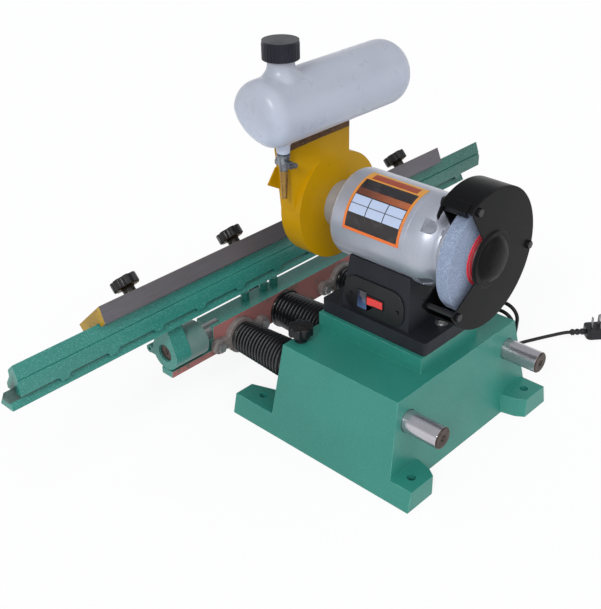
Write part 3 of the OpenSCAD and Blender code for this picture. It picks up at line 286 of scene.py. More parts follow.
fibreBrown = coated("fibreBrown", {
    "colour": tint(92, 60, 32), "shade": tint(64, 44, 26), "cloud": 60,
    "speck": tint(140, 100, 60), "speckScale": 420, "speckFrom": 0.58, "speckShare": 0.5,
    "wornAndGlint": tint(130, 96, 60), "wornAndGlintShare": 0.5, "rough": 0.78,
    "peel": 520, "peelStrength": 0.6, "peelDepth": 0.0008})
groundSteel = machined("groundSteel", {
    "colour": tint(196, 194, 200), "shade": tint(184, 182, 189),
    "lineScale": 240, "lineStretch": (1, 0.03, 1), "lineStrength": 0.02, "lineDepth": 0.0001,
    "stain": 22, "stainShare": 0.25, "dirt": tint(150, 138, 130), "rough": 0.22, "metal": 0.85})
oiledEnd = machined("oiledEnd", {
    "colour": tint(96, 84, 78), "shade": tint(72, 64, 60),
    "lineScale": 60, "lineStretch": (8, 1, 8), "lineStrength": 0.2, "lineDepth": 0.0003,
    "stain": 90, "stainShare": 0.7, "dirt": tint(50, 42, 38), "rough": 0.4})
boltSteel = machined("boltSteel", {
    "colour": tint(168, 168, 170), "shade": tint(140, 140, 144),
    "lineScale": 90, "lineStretch": (4, 4, 1), "lineStrength": 0.15, "lineDepth": 0.0002,
    "stain": 70, "stainShare": 0.4, "dirt": tint(100, 90, 82), "rough": 0.36, "metal": 0.8})
barSteel = machined("barSteel", {
    "colour": tint(112, 109, 115), "shade": tint(98, 95, 101),
    "lineScale": 30, "lineStretch": (0.6, 40, 40), "lineStrength": 0.12, "lineDepth": 0.0003,
    "stain": 12, "stainShare": 0.3, "dirt": tint(92, 86, 84), "rough": 0.48, "metal": 0.55})
castIron = machined("castIron", {
    "colour": tint(142, 138, 136), "shade": tint(120, 116, 114),
    "lineScale": 140, "lineStretch": (1, 1, 1), "lineStrength": 0.25, "lineDepth": 0.0005,
    "stain": 30, "stainShare": 0.5, "dirt": tint(120, 96, 92), "rough": 0.5, "metal": 0.25})
fittingSteel = machined("fittingSteel", {
    "colour": tint(150, 156, 162), "shade": tint(96, 100, 106),
    "lineScale": 110, "lineStretch": (1, 1, 3), "lineStrength": 0.2, "lineDepth": 0.0003,
    "stain": 80, "stainShare": 0.5, "dirt": tint(60, 62, 66), "rough": 0.28, "metal": 0.85})
# the rail's upper flank: its dark colour is partly oiled bare steel and partly painted shade in the
# gap under the carriage skirt
slideOilAndShade = machined("slideOilAndShade", {
    "colour": tint(78, 104, 98), "shade": tint(64, 88, 84),
    "lineScale": 30, "lineStretch": (0.5, 30, 30), "lineStrength": 0.1, "lineDepth": 0.0002,
    "stain": 40, "stainShare": 0.5, "dirt": tint(44, 56, 53), "rough": 0.4, "metal": 0.3})
tapBrass = machined("tapBrass", {
    "colour": tint(176, 142, 84), "shade": tint(150, 116, 62),
    "lineScale": 120, "lineStretch": (1, 1, 8), "lineStrength": 0.15, "lineDepth": 0.0002,
    "stain": 90, "stainShare": 0.5, "dirt": tint(104, 84, 58), "rough": 0.3})
windingCopper = machined("windingCopper", {
    "colour": tint(170, 98, 62), "shade": tint(132, 72, 44),
    "lineScale": 50, "lineStretch": (1, 40, 1), "lineStrength": 0.5, "lineDepth": 0.0008,
    "stain": 40, "stainShare": 0.3, "dirt": tint(90, 50, 34), "rough": 0.4})
print("paint and metal finishes mixed")


# abrasive stone: cells of grit, some of them bright
stoneGrain = {"darkSpan": (0.15, 0.6), "brightSpan": (0.86, 0.9), "rough": 0.85,
              "pitStrength": 0.5, "pitDepth": 0.0005}


def gritStone(name, look):
    mat, tree, bsdf, where = newFinish(name)
    cells = addNode(tree, "ShaderNodeTexVoronoi", {"Vector": where, "Scale": look["scale"]})
    tone = addNode(tree, "ShaderNodeSeparateColor", {0: cells.outputs["Color"]}).outputs[0]
    dark = spread(tree, tone, *stoneGrain["darkSpan"])
    colour = blendColour(tree, dark, look["dark"], look["colour"])
    bright = spread(tree, tone, *stoneGrain["brightSpan"])
    colour = blendColour(tree, bright, colour, look["bright"])
    tree.links.new(colour, bsdf.inputs["Base Color"])
    bsdf.inputs["Roughness"].default_value = stoneGrain["rough"]
    dent(tree, bsdf, cells.outputs["Distance"], stoneGrain["pitStrength"], stoneGrain["pitDepth"])
    return mat


wheelGrit = gritStone("wheelGrit", {
    "scale": 1300, "colour": tint(138, 151, 175), "dark": tint(118, 131, 156),
    "bright": tint(164, 177, 199)})
cupGrit = gritStone("cupGrit", {
    "scale": 620, "colour": tint(222, 220, 214), "dark": tint(190, 188, 182),
    "bright": tint(246, 246, 244)})


# mains cord: out of the gland, down to the floor line, three tied turns on the far wall, the plug
mainsCord = {
    "diameter": 5.4, "roundSteps": 5, "knotSteps": 6, "start": (-77, 30, 190),
    "lead": [(-98, 29, 188), (-115, 27, 179), (-130, 24, 161), (-139, 22, 138), (-146, 21, 116),
             (-152, 20, 92), (-158, 20, 62), (-162, 19, 40), (-164, 22, 21), (-165, 31, 11)],
    "tail": [(-176, 40, 54), (-181, 37, 38), (-192, 35, 21), (-210, 34, 8), (-236, 36, 3.4),
             (-265, 43, 3.4), (-291, 55, 3.8), (-314, 69, 5.6)],
    "plug": (-339, 88, 8), "plugTurn": 138,
    "turns": 3, "pitch": 6.75, "bend": 22, "steps": 10, "climb": 2.2, "topAt": 0.28, "lowAt": 0.79,
    "run": 92, "drop": 12, "middle": 78, "turnY": 66, "slant": 0.2,
    "wallHalf": 160, "wallLean": 30 / 133, "wallGap": 2.5}


def turnPoint(look, turn, angle, side):
    way = math.radians(angle)
    low = look["drop"] * (look["turns"] - turn) if side > 0 else 0
    z = look["middle"] + look["bend"] * math.sin(way) + side * look["run"] / 2 - low
    wall = look["wallHalf"] - look["wallLean"] * z
    x = -wall - look["diameter"] / 2 - look["wallGap"] - look["pitch"] * turn
    y = look["turnY"] + look["bend"] * math.cos(way) + look["slant"] * (z - look["middle"])
    return Vector((x, y, z))


def bendPoints(look, turn, count, fromAngle, side):
    steps = look["steps"]
    return [turnPoint(look, turn + k / steps / look["climb"], fromAngle + 180 * k / steps, side)
            for k in range(count)]


def cordPoints(look):
    steps = look["steps"]
    half = steps // 2
    turns = []
    for turn in range(look["turns"]):
        turns += bendPoints(look, turn, half + 1, 270, -1)
        turns += bendPoints(look, turn + look["topAt"], steps + 1, 0, 1)
        turns += bendPoints(look, turn + look["lowAt"], half, 180, -1)
    kept = turns[:-half]
    lastWay = (turns[-half] - kept[-1]).normalized()
    hankEnd = kept[-1] + lastWay * look["run"] / 2
    step = look["diameter"]
    start = Vector(look["start"])
    plug = Vector(look["plug"])
    plugAngle = math.radians(look["plugTurn"])
    plugWay = Vector((math.cos(plugAngle), math.sin(plugAngle), 0))
    points = [start, start - Vector((step, 0, 0))] + [Vector(p) for p in look["lead"]]
    points += [kept[0] - Vector((0, 2 * step, 0)), kept[0] - Vector((0, step, 0))] + kept
    points += [hankEnd, hankEnd + lastWay * step] + [Vector(p) for p in look["tail"]]
    points += [plug - plugWay * step, plug]
    return [p * mm for p in points]


def layCord(look):
    points = cordPoints(look)
    data = bpy.data.curves.new("mainsCord", "CURVE")
    data.dimensions = "3D"
    data.bevel_depth = look["diameter"] / 2 * mm
    data.bevel_resolution = look["roundSteps"]
    data.resolution_u = look["knotSteps"]
    data.use_fill_caps = True
    spline = data.splines.new("BEZIER")
    spline.bezier_points.add(len(points) - 1)
    for knot, point in zip(spline.bezier_points, points):
        knot.co = point
        knot.handle_left_type = knot.handle_right_type = "AUTO"
    obj = bpy.data.objects.new("mainsCord", data)
    scene.collection.objects.link(obj)
    data.materials.append(cordRubber)
    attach(obj, "frame")
    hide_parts("cord_lead", "cord_hank", "cord_tail")
    bpy.context.view_layer.update()
    return obj, points, sum(s.calc_length() for s in data.splines)


cordPiece, cordLine, cordLength = layCord(mainsCord)
print("cord laid, %.3f m" % cordLength)


# shared piece helpers
def finishPiece(name, work, finishes, body, replaced=(), crease=40, turnOut=True):
    if turnOut:
        bmesh.ops.recalc_face_normals(work, faces=work.faces)
    for face in work.faces:
        face.smooth = True
    mesh = bpy.data.meshes.new(name)
    work.to_mesh(mesh)
    work.free()
    mesh.set_sharp_from_angle(angle=math.radians(crease))
    obj = bpy.data.objects.new(name, mesh)
    scene.collection.objects.link(obj)
    for finish in finishes:
        mesh.materials.append(finish)
    if body:
        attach(obj, body)
    if replaced:
        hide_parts(*replaced)
    return obj


def roundEdges(work, edges, offset, segments, slide=False):
    return bmesh.ops.bevel(work, geom=edges, offset=offset * mm, offset_type="OFFSET",
                           affect="EDGES", segments=segments, profile=0.5, material=-1,
                           clamp_overlap=True, loop_slide=slide)


def paintNode(node, finish):
    mesh = cadNodes[node].data
    mesh.materials.clear()
    mesh.materials.append(finish)


# a merged copy of a CAD node with rounded edges; angles are in degrees
# sort gives a face's finish, and cuts are planes that part two finishes
dressing = {"weld": 3e-6, "flat": 0.4, "steps": 2, "sharp": 28, "crease": 55}


def dressNode(node, edge, finishes, longer=0, sort=None, cuts=()):
    work = bmesh.new()
    work.from_mesh(cadNodes[node].data)
    bmesh.ops.remove_doubles(work, verts=work.verts, dist=dressing["weld"])
    bmesh.ops.dissolve_limit(work, angle_limit=math.radians(dressing["flat"]), verts=work.verts,
                             edges=work.edges)
    for point, way in cuts:
        whole = work.verts[:] + work.edges[:] + work.faces[:]
        bmesh.ops.bisect_plane(work, geom=whole, dist=tiny, plane_co=point, plane_no=way)
    for face in work.faces:
        face.material_index = sort(face.normal, face.calc_center_median()) if sort else 0
    # the rounded outer edges marked here take the worn colour of coated finishes, which is partly
    # wear and partly painted highlight
    wearAndGlint = work.faces.layers.float.new("edgeWearAndGlint")
    bend = math.radians(dressing["sharp"])
    sharp = [e for e in work.edges if e.is_manifold and e.calc_face_angle(0) > bend]
    sharp = [e for e in sharp if e.calc_length() > longer * mm]
    if edge:
        made = roundEdges(work, sharp, edge, dressing["steps"], slide=True)
        for face in made["faces"]:
            if sum(e.calc_face_angle_signed(0) for e in face.edges) > 0:
                face[wearAndGlint] = 1  # outer edges only
    obj = finishPiece(node + "Dressed", work, finishes, bodyOf[node], (node,),
                      dressing["crease"], turnOut=False)
    flat = obj.modifiers.new("flatFaces", "WEIGHTED_NORMAL")
    flat.keep_sharp = True
    return obj


# rounding, finish, and the length in mm past which an edge is rounded
castings = {
    "base": (2.2, greenEnamel, 12), "pedestal": (1.2, pedestalBlack, 6),
    "motor_shell": (0.5, silverHammer, 0), "bell_inner": (0.6, silverHammer, 0),
    "switch_plate": (0.5, mouldedBlack, 0), "rocker": (0.6, rockerRed, 0),
    "wheel": (0.9, wheelGrit, 0), "guard_cover": (0.6, guardBlack, 0),
    "guard_bolts": (0.4, mouldedBlack, 0), "spark_plate": (0.4, guardBlack, 0),
    "splash_guard": (0.6, yellowEnamel, 0), "bottle_pad": (1.0, fibreBrown, 6),
    "bottle_cap": (0.3, capNavy, 0), "tap": (0.5, fittingSteel, 0),
    "tap_wing": (0.5, fittingSteel, 0), "rod_flanges": (0.8, castIron, 0),
    "carriage": (0.8, railEnamel, 4), "cup_wheel": (0.8, cupGrit, 0),
    "cord_gland": (0.5, cordRubber, 0), "cord_tie": (0.4, mouldedBlack, 0),
    "plug": (2.0, mouldedBlack, 0), "plug_pins": (0.25, boltSteel, 0),
    "drip_tube": (0.2, tapBrass, 0), "spindle_nuts": (0.4, boltSteel, 0),
    "wheel_flanges": (0.4, boltSteel, 0)}
dressed = {castName: dressNode(castName, castEdge, [castFinish], castLonger)
           for castName, (castEdge, castFinish, castLonger) in castings.items()}
print("castings dressed,", len(dressed))

innerFinishes = {
    "rod_bushes": tapBrass, "feed_nut": tapBrass, "stator": castIron, "windings": windingCopper,
    "rotor": castIron, "bearings": boltSteel, "switch_body": mouldedBlack, "shaft": groundSteel,
    "lock_screw": boltSteel, "feed_screw": boltSteel}
for innerName, innerFinish in innerFinishes.items():
    paintNode(innerName, innerFinish)

# where a piece changes its finish: places in m, facing and rodEnd as a share of the normal
partings = {"blockX": 0.2105, "studX": 0.222, "boltZ": 0.125, "railZ": 0.173, "screwZ": 0.18,
            "spigot": 0.0485, "facing": 0.5, "rodEnd": 0.3}
bellPocket = {"floor": 0.054, "y": 0.075, "lean": math.radians(22), "turns": (42, 138, 222, 318),
              "facing": 0.99, "near": 0.0006}
clampTurn = math.radians(43)
clampOut = Vector((0, -math.sin(clampTurn), math.cos(clampTurn)))


def clampFace(normal, centre):
    facing = partings["facing"]  # the outer face and the ends are painted, the rest is bare
    return 1 if normal.dot(clampOut) > facing or abs(normal.x) > facing else 0


def beamFace(normal, centre):
    return 1 if normal.y > partings["facing"] else 0  # primer shows on the face towards the base


def blockFace(normal, centre):
    return 1 if abs(centre.x) < partings["blockX"] else 0


def rodFace(normal, centre):
    return 1 if normal.y > partings["rodEnd"] else 0


def studFace(normal, centre):
    return 1 if abs(centre.x) > partings["studX"] else 0


def boltFace(normal, centre):
    return 1 if centre.z > partings["boltZ"] else 0  # bolts on top were painted with the beam


# faces above railZ, under the carriage skirt, take the dark slide finish: oiled steel and painted
# shade
def railFace(normal, centre):
    return 1 if centre.z > partings["railZ"] else 0


def screwFace(normal, centre):
    return 1 if centre.z > partings["screwZ"] else 0  # the switch plate's screws are blackened


def ventFace(normal, centre):
    flat = math.cos(bellPocket["lean"])
    reach = centre - Vector((0, bellPocket["y"], spindleZ))
    for turn in bellPocket["turns"]:
        way = math.radians(turn)
        out = Vector((math.cos(way) * flat, math.sin(bellPocket["lean"]), math.sin(way) * flat))
        off = abs(reach.dot(out) - bellPocket["floor"] * flat)
        if normal.dot(out) > bellPocket["facing"] and off < bellPocket["near"]:
            return 1  # floor of a vent pocket
    return 0


def guardFace(normal, centre):
    inside = math.hypot(centre.x, centre.z - spindleZ) < partings["spigot"]
    return 1 if abs(normal.y) < partings["facing"] and inside else 0


blockCuts = [((side * partings["blockX"], 0, 0), (1, 0, 0)) for side in (-1, 1)]
railCuts = [((0, 0, partings["railZ"]), (0, 0, 1))]
twoToned = {
    "clamp_bar": (0.7, [barSteel, chippedYellow], 3, clampFace),
    "crossbeam": (1.2, [railEnamel, rustPrimer], 4, beamFace),
    "pivot_blocks": (1.0, [railEnamel, blockEnamel], 4, blockFace, blockCuts),
    "guide_rods": (0.4, [groundSteel, oiledEnd], 0, rodFace),
    "pivot_studs": (0, [boltSteel, oiledEnd], 0, studFace),
    "beam_bolts": (0.5, [boltSteel, railEnamel], 0, boltFace),
    "rail": (0.9, [railEnamel, slideOilAndShade], 4, railFace, railCuts),
    "bell_outer": (0.6, [silverHammer, pocketGrey], 0, ventFace),
    "pedestal_screws": (0.3, [boltSteel, mouldedBlack], 0, screwFace),
    "guard_back": (0.5, [guardBlack, silverHammer], 0, guardFace)}
for tonedName, tonedLook in twoToned.items():
    dressNode(tonedName, *tonedLook)
print("two-toned pieces dressed,", len(twoToned))


# star knobs: scalloped head, hub and threaded stud; scallop and boss are shares of a radius
knobForm = {"scallop": 0.27, "scallopOut": 0.45, "lobeSteps": 18, "rimSteps": 3, "boss": 0.42,
            "bossRise": 0.9, "bossDeep": 3, "pitch": 1.25, "threadDeep": 0.7, "threadIn": 2,
            "threadSteps": 28}


def scallopRadius(angle, radius, lobes):
    tip = knobForm["scallop"] * radius
    centre = radius + knobForm["scallopOut"] * tip
    step = 2 * math.pi / lobes
    off = (angle + step / 2) % step - step / 2
    side = centre * math.sin(off)
    if abs(side) >= tip:
        return radius
    return min(radius, centre * math.cos(off) - math.sqrt(tip * tip - side * side))


def addTurned(work, profile, steps=40):
    before = set(work.verts)
    verts = [work.verts.new((r * mm, 0, z * mm)) for r, z in profile]
    edges = [work.edges.new(pair) for pair in zip(verts, verts[1:])]
    bmesh.ops.spin(work, geom=verts + edges, cent=(0, 0, 0), axis=(0, 0, 1), angle=2 * math.pi,
                   steps=steps, use_merge=True)
    made = [v for v in work.verts if v not in before]
    bmesh.ops.remove_doubles(work, verts=made, dist=tiny)
    return [v for v in work.verts if v not in before]


def addStarHead(work, look):
    radius, low, high = look["radius"], look["headLow"], look["headHigh"]
    made = bmesh.ops.create_circle(work, cap_ends=True, radius=radius * mm,
                                   segments=look["lobes"] * knobForm["lobeSteps"])
    for vert in made["verts"]:
        angle = math.atan2(vert.co.y, vert.co.x)
        reach = scallopRadius(angle, radius, look["lobes"]) * mm
        vert.co = (reach * math.cos(angle), reach * math.sin(angle), low * mm)
    floor = made["verts"][0].link_faces[0]
    risen = bmesh.ops.extrude_face_region(work, geom=[floor])["geom"]
    topVerts = [g for g in risen if isinstance(g, bmesh.types.BMVert)]
    bmesh.ops.translate(work, verts=topVerts, vec=(0, 0, (high - low) * mm))
    heads = [g for g in risen if isinstance(g, bmesh.types.BMFace)] + [floor]
    rims = [e for f in heads for e in f.edges]
    roundEdges(work, rims, look["round"], knobForm["rimSteps"])


def starKnob(name, look, place, finishes, body, replaced):
    work = bmesh.new()
    addStarHead(work, look)
    high, low = look["headHigh"], look["headLow"]
    boss = look["radius"] * knobForm["boss"]
    top, foot = high + knobForm["bossRise"], high - knobForm["bossDeep"]
    addTurned(work, [(0, top), (boss - 1.4, top), (boss - 0.5, high + 0.6), (boss, high - 0.6),
                     (boss, foot), (0, foot)])
    hub, hubLow = look["hub"], look["hubLow"]
    addTurned(work, [(0, hubLow), (hub - 0.6, hubLow), (hub, hubLow + 0.6), (hub - 0.5, low - 3),
                     (hub + 0.6, low - 1), (hub + 2, low + 1), (0, low + 1)])
    if look["stud"]:
        stud, studLow, pitch = look["stud"], look["studLow"], knobForm["pitch"]
        root = stud - knobForm["threadDeep"]
        coils = int((hubLow + knobForm["threadIn"] - studLow) / pitch)
        thread = [(0, studLow)]
        for k in range(coils):
            thread += [(root, studLow + k * pitch), (stud, studLow + (k + 0.5) * pitch)]
        thread.append((0, studLow + coils * pitch))
        made = addTurned(work, thread, knobForm["threadSteps"])
        for face in {f for v in made for f in v.link_faces}:
            face.material_index = 1
    bmesh.ops.transform(work, matrix=place, verts=work.verts)
    finishPiece(name, work, finishes, body, replaced)


clampKnob = {"radius": 18.5, "lobes": 7, "headLow": 27.3, "headHigh": 41.4, "round": 1.6, "hub": 9,
             "hubLow": 16.3, "stud": 4, "studLow": -7, "count": 4, "spacing": 184,
             "seat": (-204.5, 213.9)}
lockKnob = {"radius": 17, "lobes": 7, "headLow": 143, "headHigh": 157.1, "round": 1.6, "hub": 9,
            "hubLow": 133.4, "stud": 0, "place": (106, -80, 0)}
feedKnob = {"radius": 24, "lobes": 8, "headLow": 4, "headHigh": 17.1, "round": 1.8, "hub": 12,
            "hubLow": 0.2, "stud": 0, "place": (16, -244, 97)}
for k in range(clampKnob["count"]):
    along = (k - (clampKnob["count"] - 1) / 2) * clampKnob["spacing"]
    spot = Vector((along, *clampKnob["seat"])) * mm
    turn = Matrix.Translation(spot) @ Matrix.Rotation(clampTurn, 4, "X")
    starKnob("clampKnob%d" % (k + 1), clampKnob, turn, [mouldedBlack, boltSteel],
             "knob_%d" % (k + 1), ("clamp_knob_%d" % (k + 1),))
lockPlace = Matrix.Translation(inMetres(lockKnob["place"]))
starKnob("lockKnob", lockKnob, lockPlace, [mouldedBlack], "lock", ("lock_knob",))
feedTurn = Matrix.Rotation(math.pi / 2, 4, "X")
feedPlace = Matrix.Translation(inMetres(feedKnob["place"])) @ feedTurn
starKnob("feedKnob", feedKnob, feedPlace, [mouldedBlack], "feed", ("feed_knob",))
print("knobs turned")


# ribbed rubber sleeves between the beam and the base's leaning wall
sleeveForm = {"ribs": 15, "ribSteps": 8, "deep": 5, "swell": 0.75, "grow": 4.5, "cuff": 4,
              "wall": 1.4, "z": 97, "turnSteps": 64, "crease": 60,
              "baseY": -91, "baseLean": 3, "baseHigh": 133}
bellowsLooks = {
    "bellows_near": {"x": 111, "radius": 23.5, "low": -191, "lip": 21.5},
    "bellows_mid": {"x": 16, "radius": 27.5, "low": -200, "lip": 29.5},
    "bellows_far": {"x": -111, "radius": 23.5, "low": -191, "lip": 21.5}}


def ribbedSleeve(node, look):
    ribs, steps, deep, grow = (sleeveForm[k] for k in ("ribs", "ribSteps", "deep", "grow"))
    cuff, wall, z = (sleeveForm[k] for k in ("cuff", "wall", "z"))
    x, radius, low, lip = (look[k] for k in ("x", "radius", "low", "lip"))
    rise = sleeveForm["baseHigh"] - z + radius + grow
    high = sleeveForm["baseY"] - sleeveForm["baseLean"] * rise / sleeveForm["baseHigh"]
    valley = radius - deep
    step = (high - low - 2 * cuff) / ribs
    profile = [(valley - wall, low), (lip - 0.5, low), (lip, low + 0.5), (lip, low + cuff - 0.8),
               (lip - 0.5, low + cuff - 0.3)]
    for rib in range(ribs):
        for part in range(steps):
            along = rib + part / steps
            swell = 0.5 - 0.5 * math.cos(2 * math.pi * part / steps)
            wide = valley + grow * along / ribs + deep * swell ** sleeveForm["swell"]
            profile.append((wide, low + cuff + along * step))
    valley += grow
    profile += [(valley, high - cuff), (valley + 1.5, high - cuff),
                (valley + 2, high - cuff + 0.5), (valley + 2, high - 0.2),
                (valley - wall, high - 0.2)]
    work = bmesh.new()
    addTurned(work, profile + [profile[0]], sleeveForm["turnSteps"])
    place = Matrix.Translation((x * mm, 0, z * mm)) @ Matrix.Rotation(-math.pi / 2, 4, "X")
    bmesh.ops.transform(work, matrix=place, verts=work.verts)
    obj = finishPiece(node + "Sleeve", work, [bellowsRubber], None, (node,),
                      sleeveForm["crease"])
    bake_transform(obj)


for sleeveName, sleeveLook in bellowsLooks.items():
    ribbedSleeve(sleeveName, sleeveLook)
print("bellows ribbed")


# milky coolant bottle: body, neck and outlet grown together
coolantBottle = {"radius": 43.5, "low": -117, "high": 150, "axis": (-112, 450.5), "segments": 96,
                 "nearRound": 21, "farRound": 28, "roundSteps": 12, "tuck": 13, "tuckFrom": 60,
                 "tuckOver": 90, "tuckSoft": 0.15, "neckX": 98, "neck": 17, "neckTop": 519,
                 "neckSteps": 72, "outlet": 9, "outletLow": 391.5, "outletSteps": 48,
                 "voxel": 1.6, "easing": 0.5, "easeSteps": 24}
milkyLook = {"colour": tint(170, 174, 186), "shade": tint(162, 167, 180), "cloud": (14, 4),
             # the low colour and its span are painted light on the bottle's lower part
             "span": (0.3, 0.7), "low": tint(194, 204, 224), "paintedLightSpan": (0.412, 0.475, 0.75, 0),
             "glow": 0.35, "glowReach": (0.012, 0.012, 0.014), "smear": (40, 4),
             "rough": (0.26, 0.34), "wave": (30, 3), "waveStrength": 0.06, "waveDepth": 0.0015}


def milkyPlastic(name, look):
    mat, tree, bsdf, where = newFinish(name)
    haze = spread(tree, grain(tree, where, *look["cloud"]), *look["span"])
    colour = blendColour(tree, haze, look["colour"], look["shade"])
    height = addNode(tree, "ShaderNodeSeparateXYZ", {0: where}).outputs[2]
    # the lower part is painted lighter: painted light that evens out the shading underneath
    colour = blendColour(tree, spread(tree, height, *look["paintedLightSpan"]), colour, look["low"])
    tree.links.new(colour, bsdf.inputs["Base Color"])
    bsdf.inputs["Subsurface Weight"].default_value = look["glow"]
    bsdf.inputs["Subsurface Radius"].default_value = look["glowReach"]
    bsdf.inputs["Subsurface Scale"].default_value = 1
    smear = spread(tree, grain(tree, where, *look["smear"]), *look["span"], *look["rough"])
    tree.links.new(smear, bsdf.inputs["Roughness"])
    dent(tree, bsdf, grain(tree, where, *look["wave"]), look["waveStrength"], look["waveDepth"])
    return mat


def shareOf(value):
    return min(max(value, 0), 1)


def blowBottle(look):
    work = bmesh.new()
    y, z = look["axis"]
    radius = look["radius"] * mm
    bmesh.ops.create_cone(work, cap_ends=True, segments=look["segments"], radius1=radius,
                          radius2=radius, depth=(look["high"] - look["low"]) * mm)
    caps = [f for f in work.faces if len(f.verts) == look["segments"]]
    rims = {e for f in caps for e in f.edges}
    for side, key in ((1, "nearRound"), (-1, "farRound")):
        rim = [e for e in rims if e.is_valid and all(v.co.z * side > 0 for v in e.verts)]
        roundEdges(work, rim, look[key], look["roundSteps"])
    middle = (look["high"] + look["low"]) / 2
    lay = Matrix.Translation((middle * mm, y * mm, z * mm)) @ Matrix.Rotation(math.pi / 2, 4, "Y")
    bmesh.ops.transform(work, matrix=lay, verts=work.verts)
    for vert in work.verts:  # the near end is tucked in below
        near = shareOf((vert.co.x - look["tuckFrom"] * mm) / (look["tuckOver"] * mm))
        below = shareOf((z * mm - vert.co.z) / radius + look["tuckSoft"])
        vert.co.x -= look["tuck"] * mm * (near * below)
    neck, outlet = look["neck"], look["outlet"]
    neckTop, outletLow = look["neckTop"], look["outletLow"]
    made = addTurned(work, [(0, z), (neck + 8, z), (neck + 8, z + 37), (neck + 5.5, z + 42),
                            (neck + 2, z + 47), (neck, z + 51), (neck, neckTop), (0, neckTop)],
                     look["neckSteps"])
    made += addTurned(work, [(0, outletLow), (outlet, outletLow), (outlet, z - 48),
                             (outlet + 2, z - 44), (outlet + 5, z - 39), (outlet + 5, z), (0, z)],
                      look["outletSteps"])
    bmesh.ops.translate(work, verts=made, vec=(look["neckX"] * mm, y * mm, 0))
    finish = milkyPlastic("milkyPlastic", milkyLook)
    obj = finishPiece("coolantBottle", work, [finish], "frame", ("bottle",))
    melt = obj.modifiers.new("melt", "REMESH")
    melt.mode = "VOXEL"
    melt.voxel_size = look["voxel"] * mm
    melt.use_smooth_shade = True
    ease = obj.modifiers.new("ease", "SMOOTH")
    ease.factor = look["easing"]
    ease.iterations = look["easeSteps"]


blowBottle(coolantBottle)
print("bottle blown")


# rating plate on the motor: coloured fields only, as low and high shares along it and up it
plateLook = {
    "lowAngle": 4, "highAngle": 92, "lowY": -0.047, "highY": 0.043,
    "edge": tint(226, 108, 40), "edgeTop": tint(206, 150, 60),
    "panel": (0.04, 0.96, 0.045, 0.80), "panelInk": tint(34, 30, 32),
    "band": (0.04, 0.96, 0.53, 0.63), "bandWarm": (0.2, 1.0),
    "bandInk": (tint(96, 52, 36), tint(168, 92, 52)),
    "head": (0.10, 0.90, 0.83, 0.95), "headInk": tint(150, 62, 34),
    "columns": 3, "rows": 2, "cellFrom": (0.05, 0.255), "cellStep": (0.305, 0.135),
    "cell": (0.29, 0.125), "cellInk": tint(176, 190, 216),
    "haze": (90, 4), "hazeSpan": (0.5, 0.8, 0, 0.12), "dust": tint(150, 140, 136),
    "smear": (60, 3), "smearSpan": (0.3, 0.7, 0.28, 0.42),
    "wave": (200, 2), "waveStrength": 0.1, "waveDepth": 0.0002}


def ratingPlate(name, look):
    mat, tree, bsdf, where = newFinish(name)
    split = addNode(tree, "ShaderNodeSeparateXYZ", {0: where})
    rise = sums(tree, "SUBTRACT", split.outputs[2], spindleZ)
    angle = sums(tree, "ARCTAN2", rise, split.outputs[0])
    up = spread(tree, angle, math.radians(look["lowAngle"]), math.radians(look["highAngle"]))
    along = spread(tree, split.outputs[1], look["lowY"], look["highY"])

    def field(lowU, highU, lowV, highV):
        across = within(tree, along, lowU, highU)
        return sums(tree, "MULTIPLY", across, within(tree, up, lowV, highV))

    colour = blendColour(tree, up, look["edge"], look["edgeTop"])
    colour = blendColour(tree, field(*look["panel"]), colour, look["panelInk"])
    band = blendColour(tree, spread(tree, along, *look["bandWarm"]), *look["bandInk"])
    colour = blendColour(tree, field(*look["band"]), colour, band)
    colour = blendColour(tree, field(*look["head"]), colour, look["headInk"])
    for column in range(look["columns"]):
        for row in range(look["rows"]):
            lowU = look["cellFrom"][0] + column * look["cellStep"][0]
            lowV = look["cellFrom"][1] + row * look["cellStep"][1]
            cell = field(lowU, lowU + look["cell"][0], lowV, lowV + look["cell"][1])
            colour = blendColour(tree, cell, colour, look["cellInk"])
    haze = spread(tree, grain(tree, where, *look["haze"]), *look["hazeSpan"])
    tree.links.new(blendColour(tree, haze, colour, look["dust"]), bsdf.inputs["Base Color"])
    smear = spread(tree, grain(tree, where, *look["smear"]), *look["smearSpan"])
    tree.links.new(smear, bsdf.inputs["Roughness"])
    dent(tree, bsdf, grain(tree, where, *look["wave"]), look["waveStrength"], look["waveDepth"])
    return mat


paintNode("label", ratingPlate("ratingPlate", plateLook))


# red paper washer with a pale printed ring
washerLook = {"ring": (0.0322, 0.0334), "ringShare": 0.6, "ringInk": tint(244, 190, 190),
              "colour": tint(255, 66, 84), "shade": tint(246, 52, 70), "fibre": (300, 4),
              "fibreSpan": (0.3, 0.7), "rough": 0.6, "fibreStrength": 0.2, "fibreDepth": 0.0002}


def paperWasher(name, look):
    mat, tree, bsdf, where = newFinish(name)
    toAxis = {0: where, 1: (0, 0, -spindleZ)}
    flat = addNode(tree, "ShaderNodeVectorMath", toAxis, operation="ADD").outputs[0]
    acrossAxis = {0: flat, 1: (1, 0, 1)}
    flat = addNode(tree, "ShaderNodeVectorMath", acrossAxis, operation="MULTIPLY").outputs[0]
    reach = addNode(tree, "ShaderNodeVectorMath", {0: flat}, operation="LENGTH").outputs["Value"]
    ring = sums(tree, "MULTIPLY", within(tree, reach, *look["ring"]), look["ringShare"])
    fibre = spread(tree, grain(tree, where, *look["fibre"]), *look["fibreSpan"])
    colour = blendColour(tree, fibre, look["colour"], look["shade"])
    tree.links.new(blendColour(tree, ring, colour, look["ringInk"]), bsdf.inputs["Base Color"])
    bsdf.inputs["Roughness"].default_value = look["rough"]
    dent(tree, bsdf, fibre, look["fibreStrength"], look["fibreDepth"])
    return mat


paintNode("blotter", paperWasher("paperWasher", washerLook))


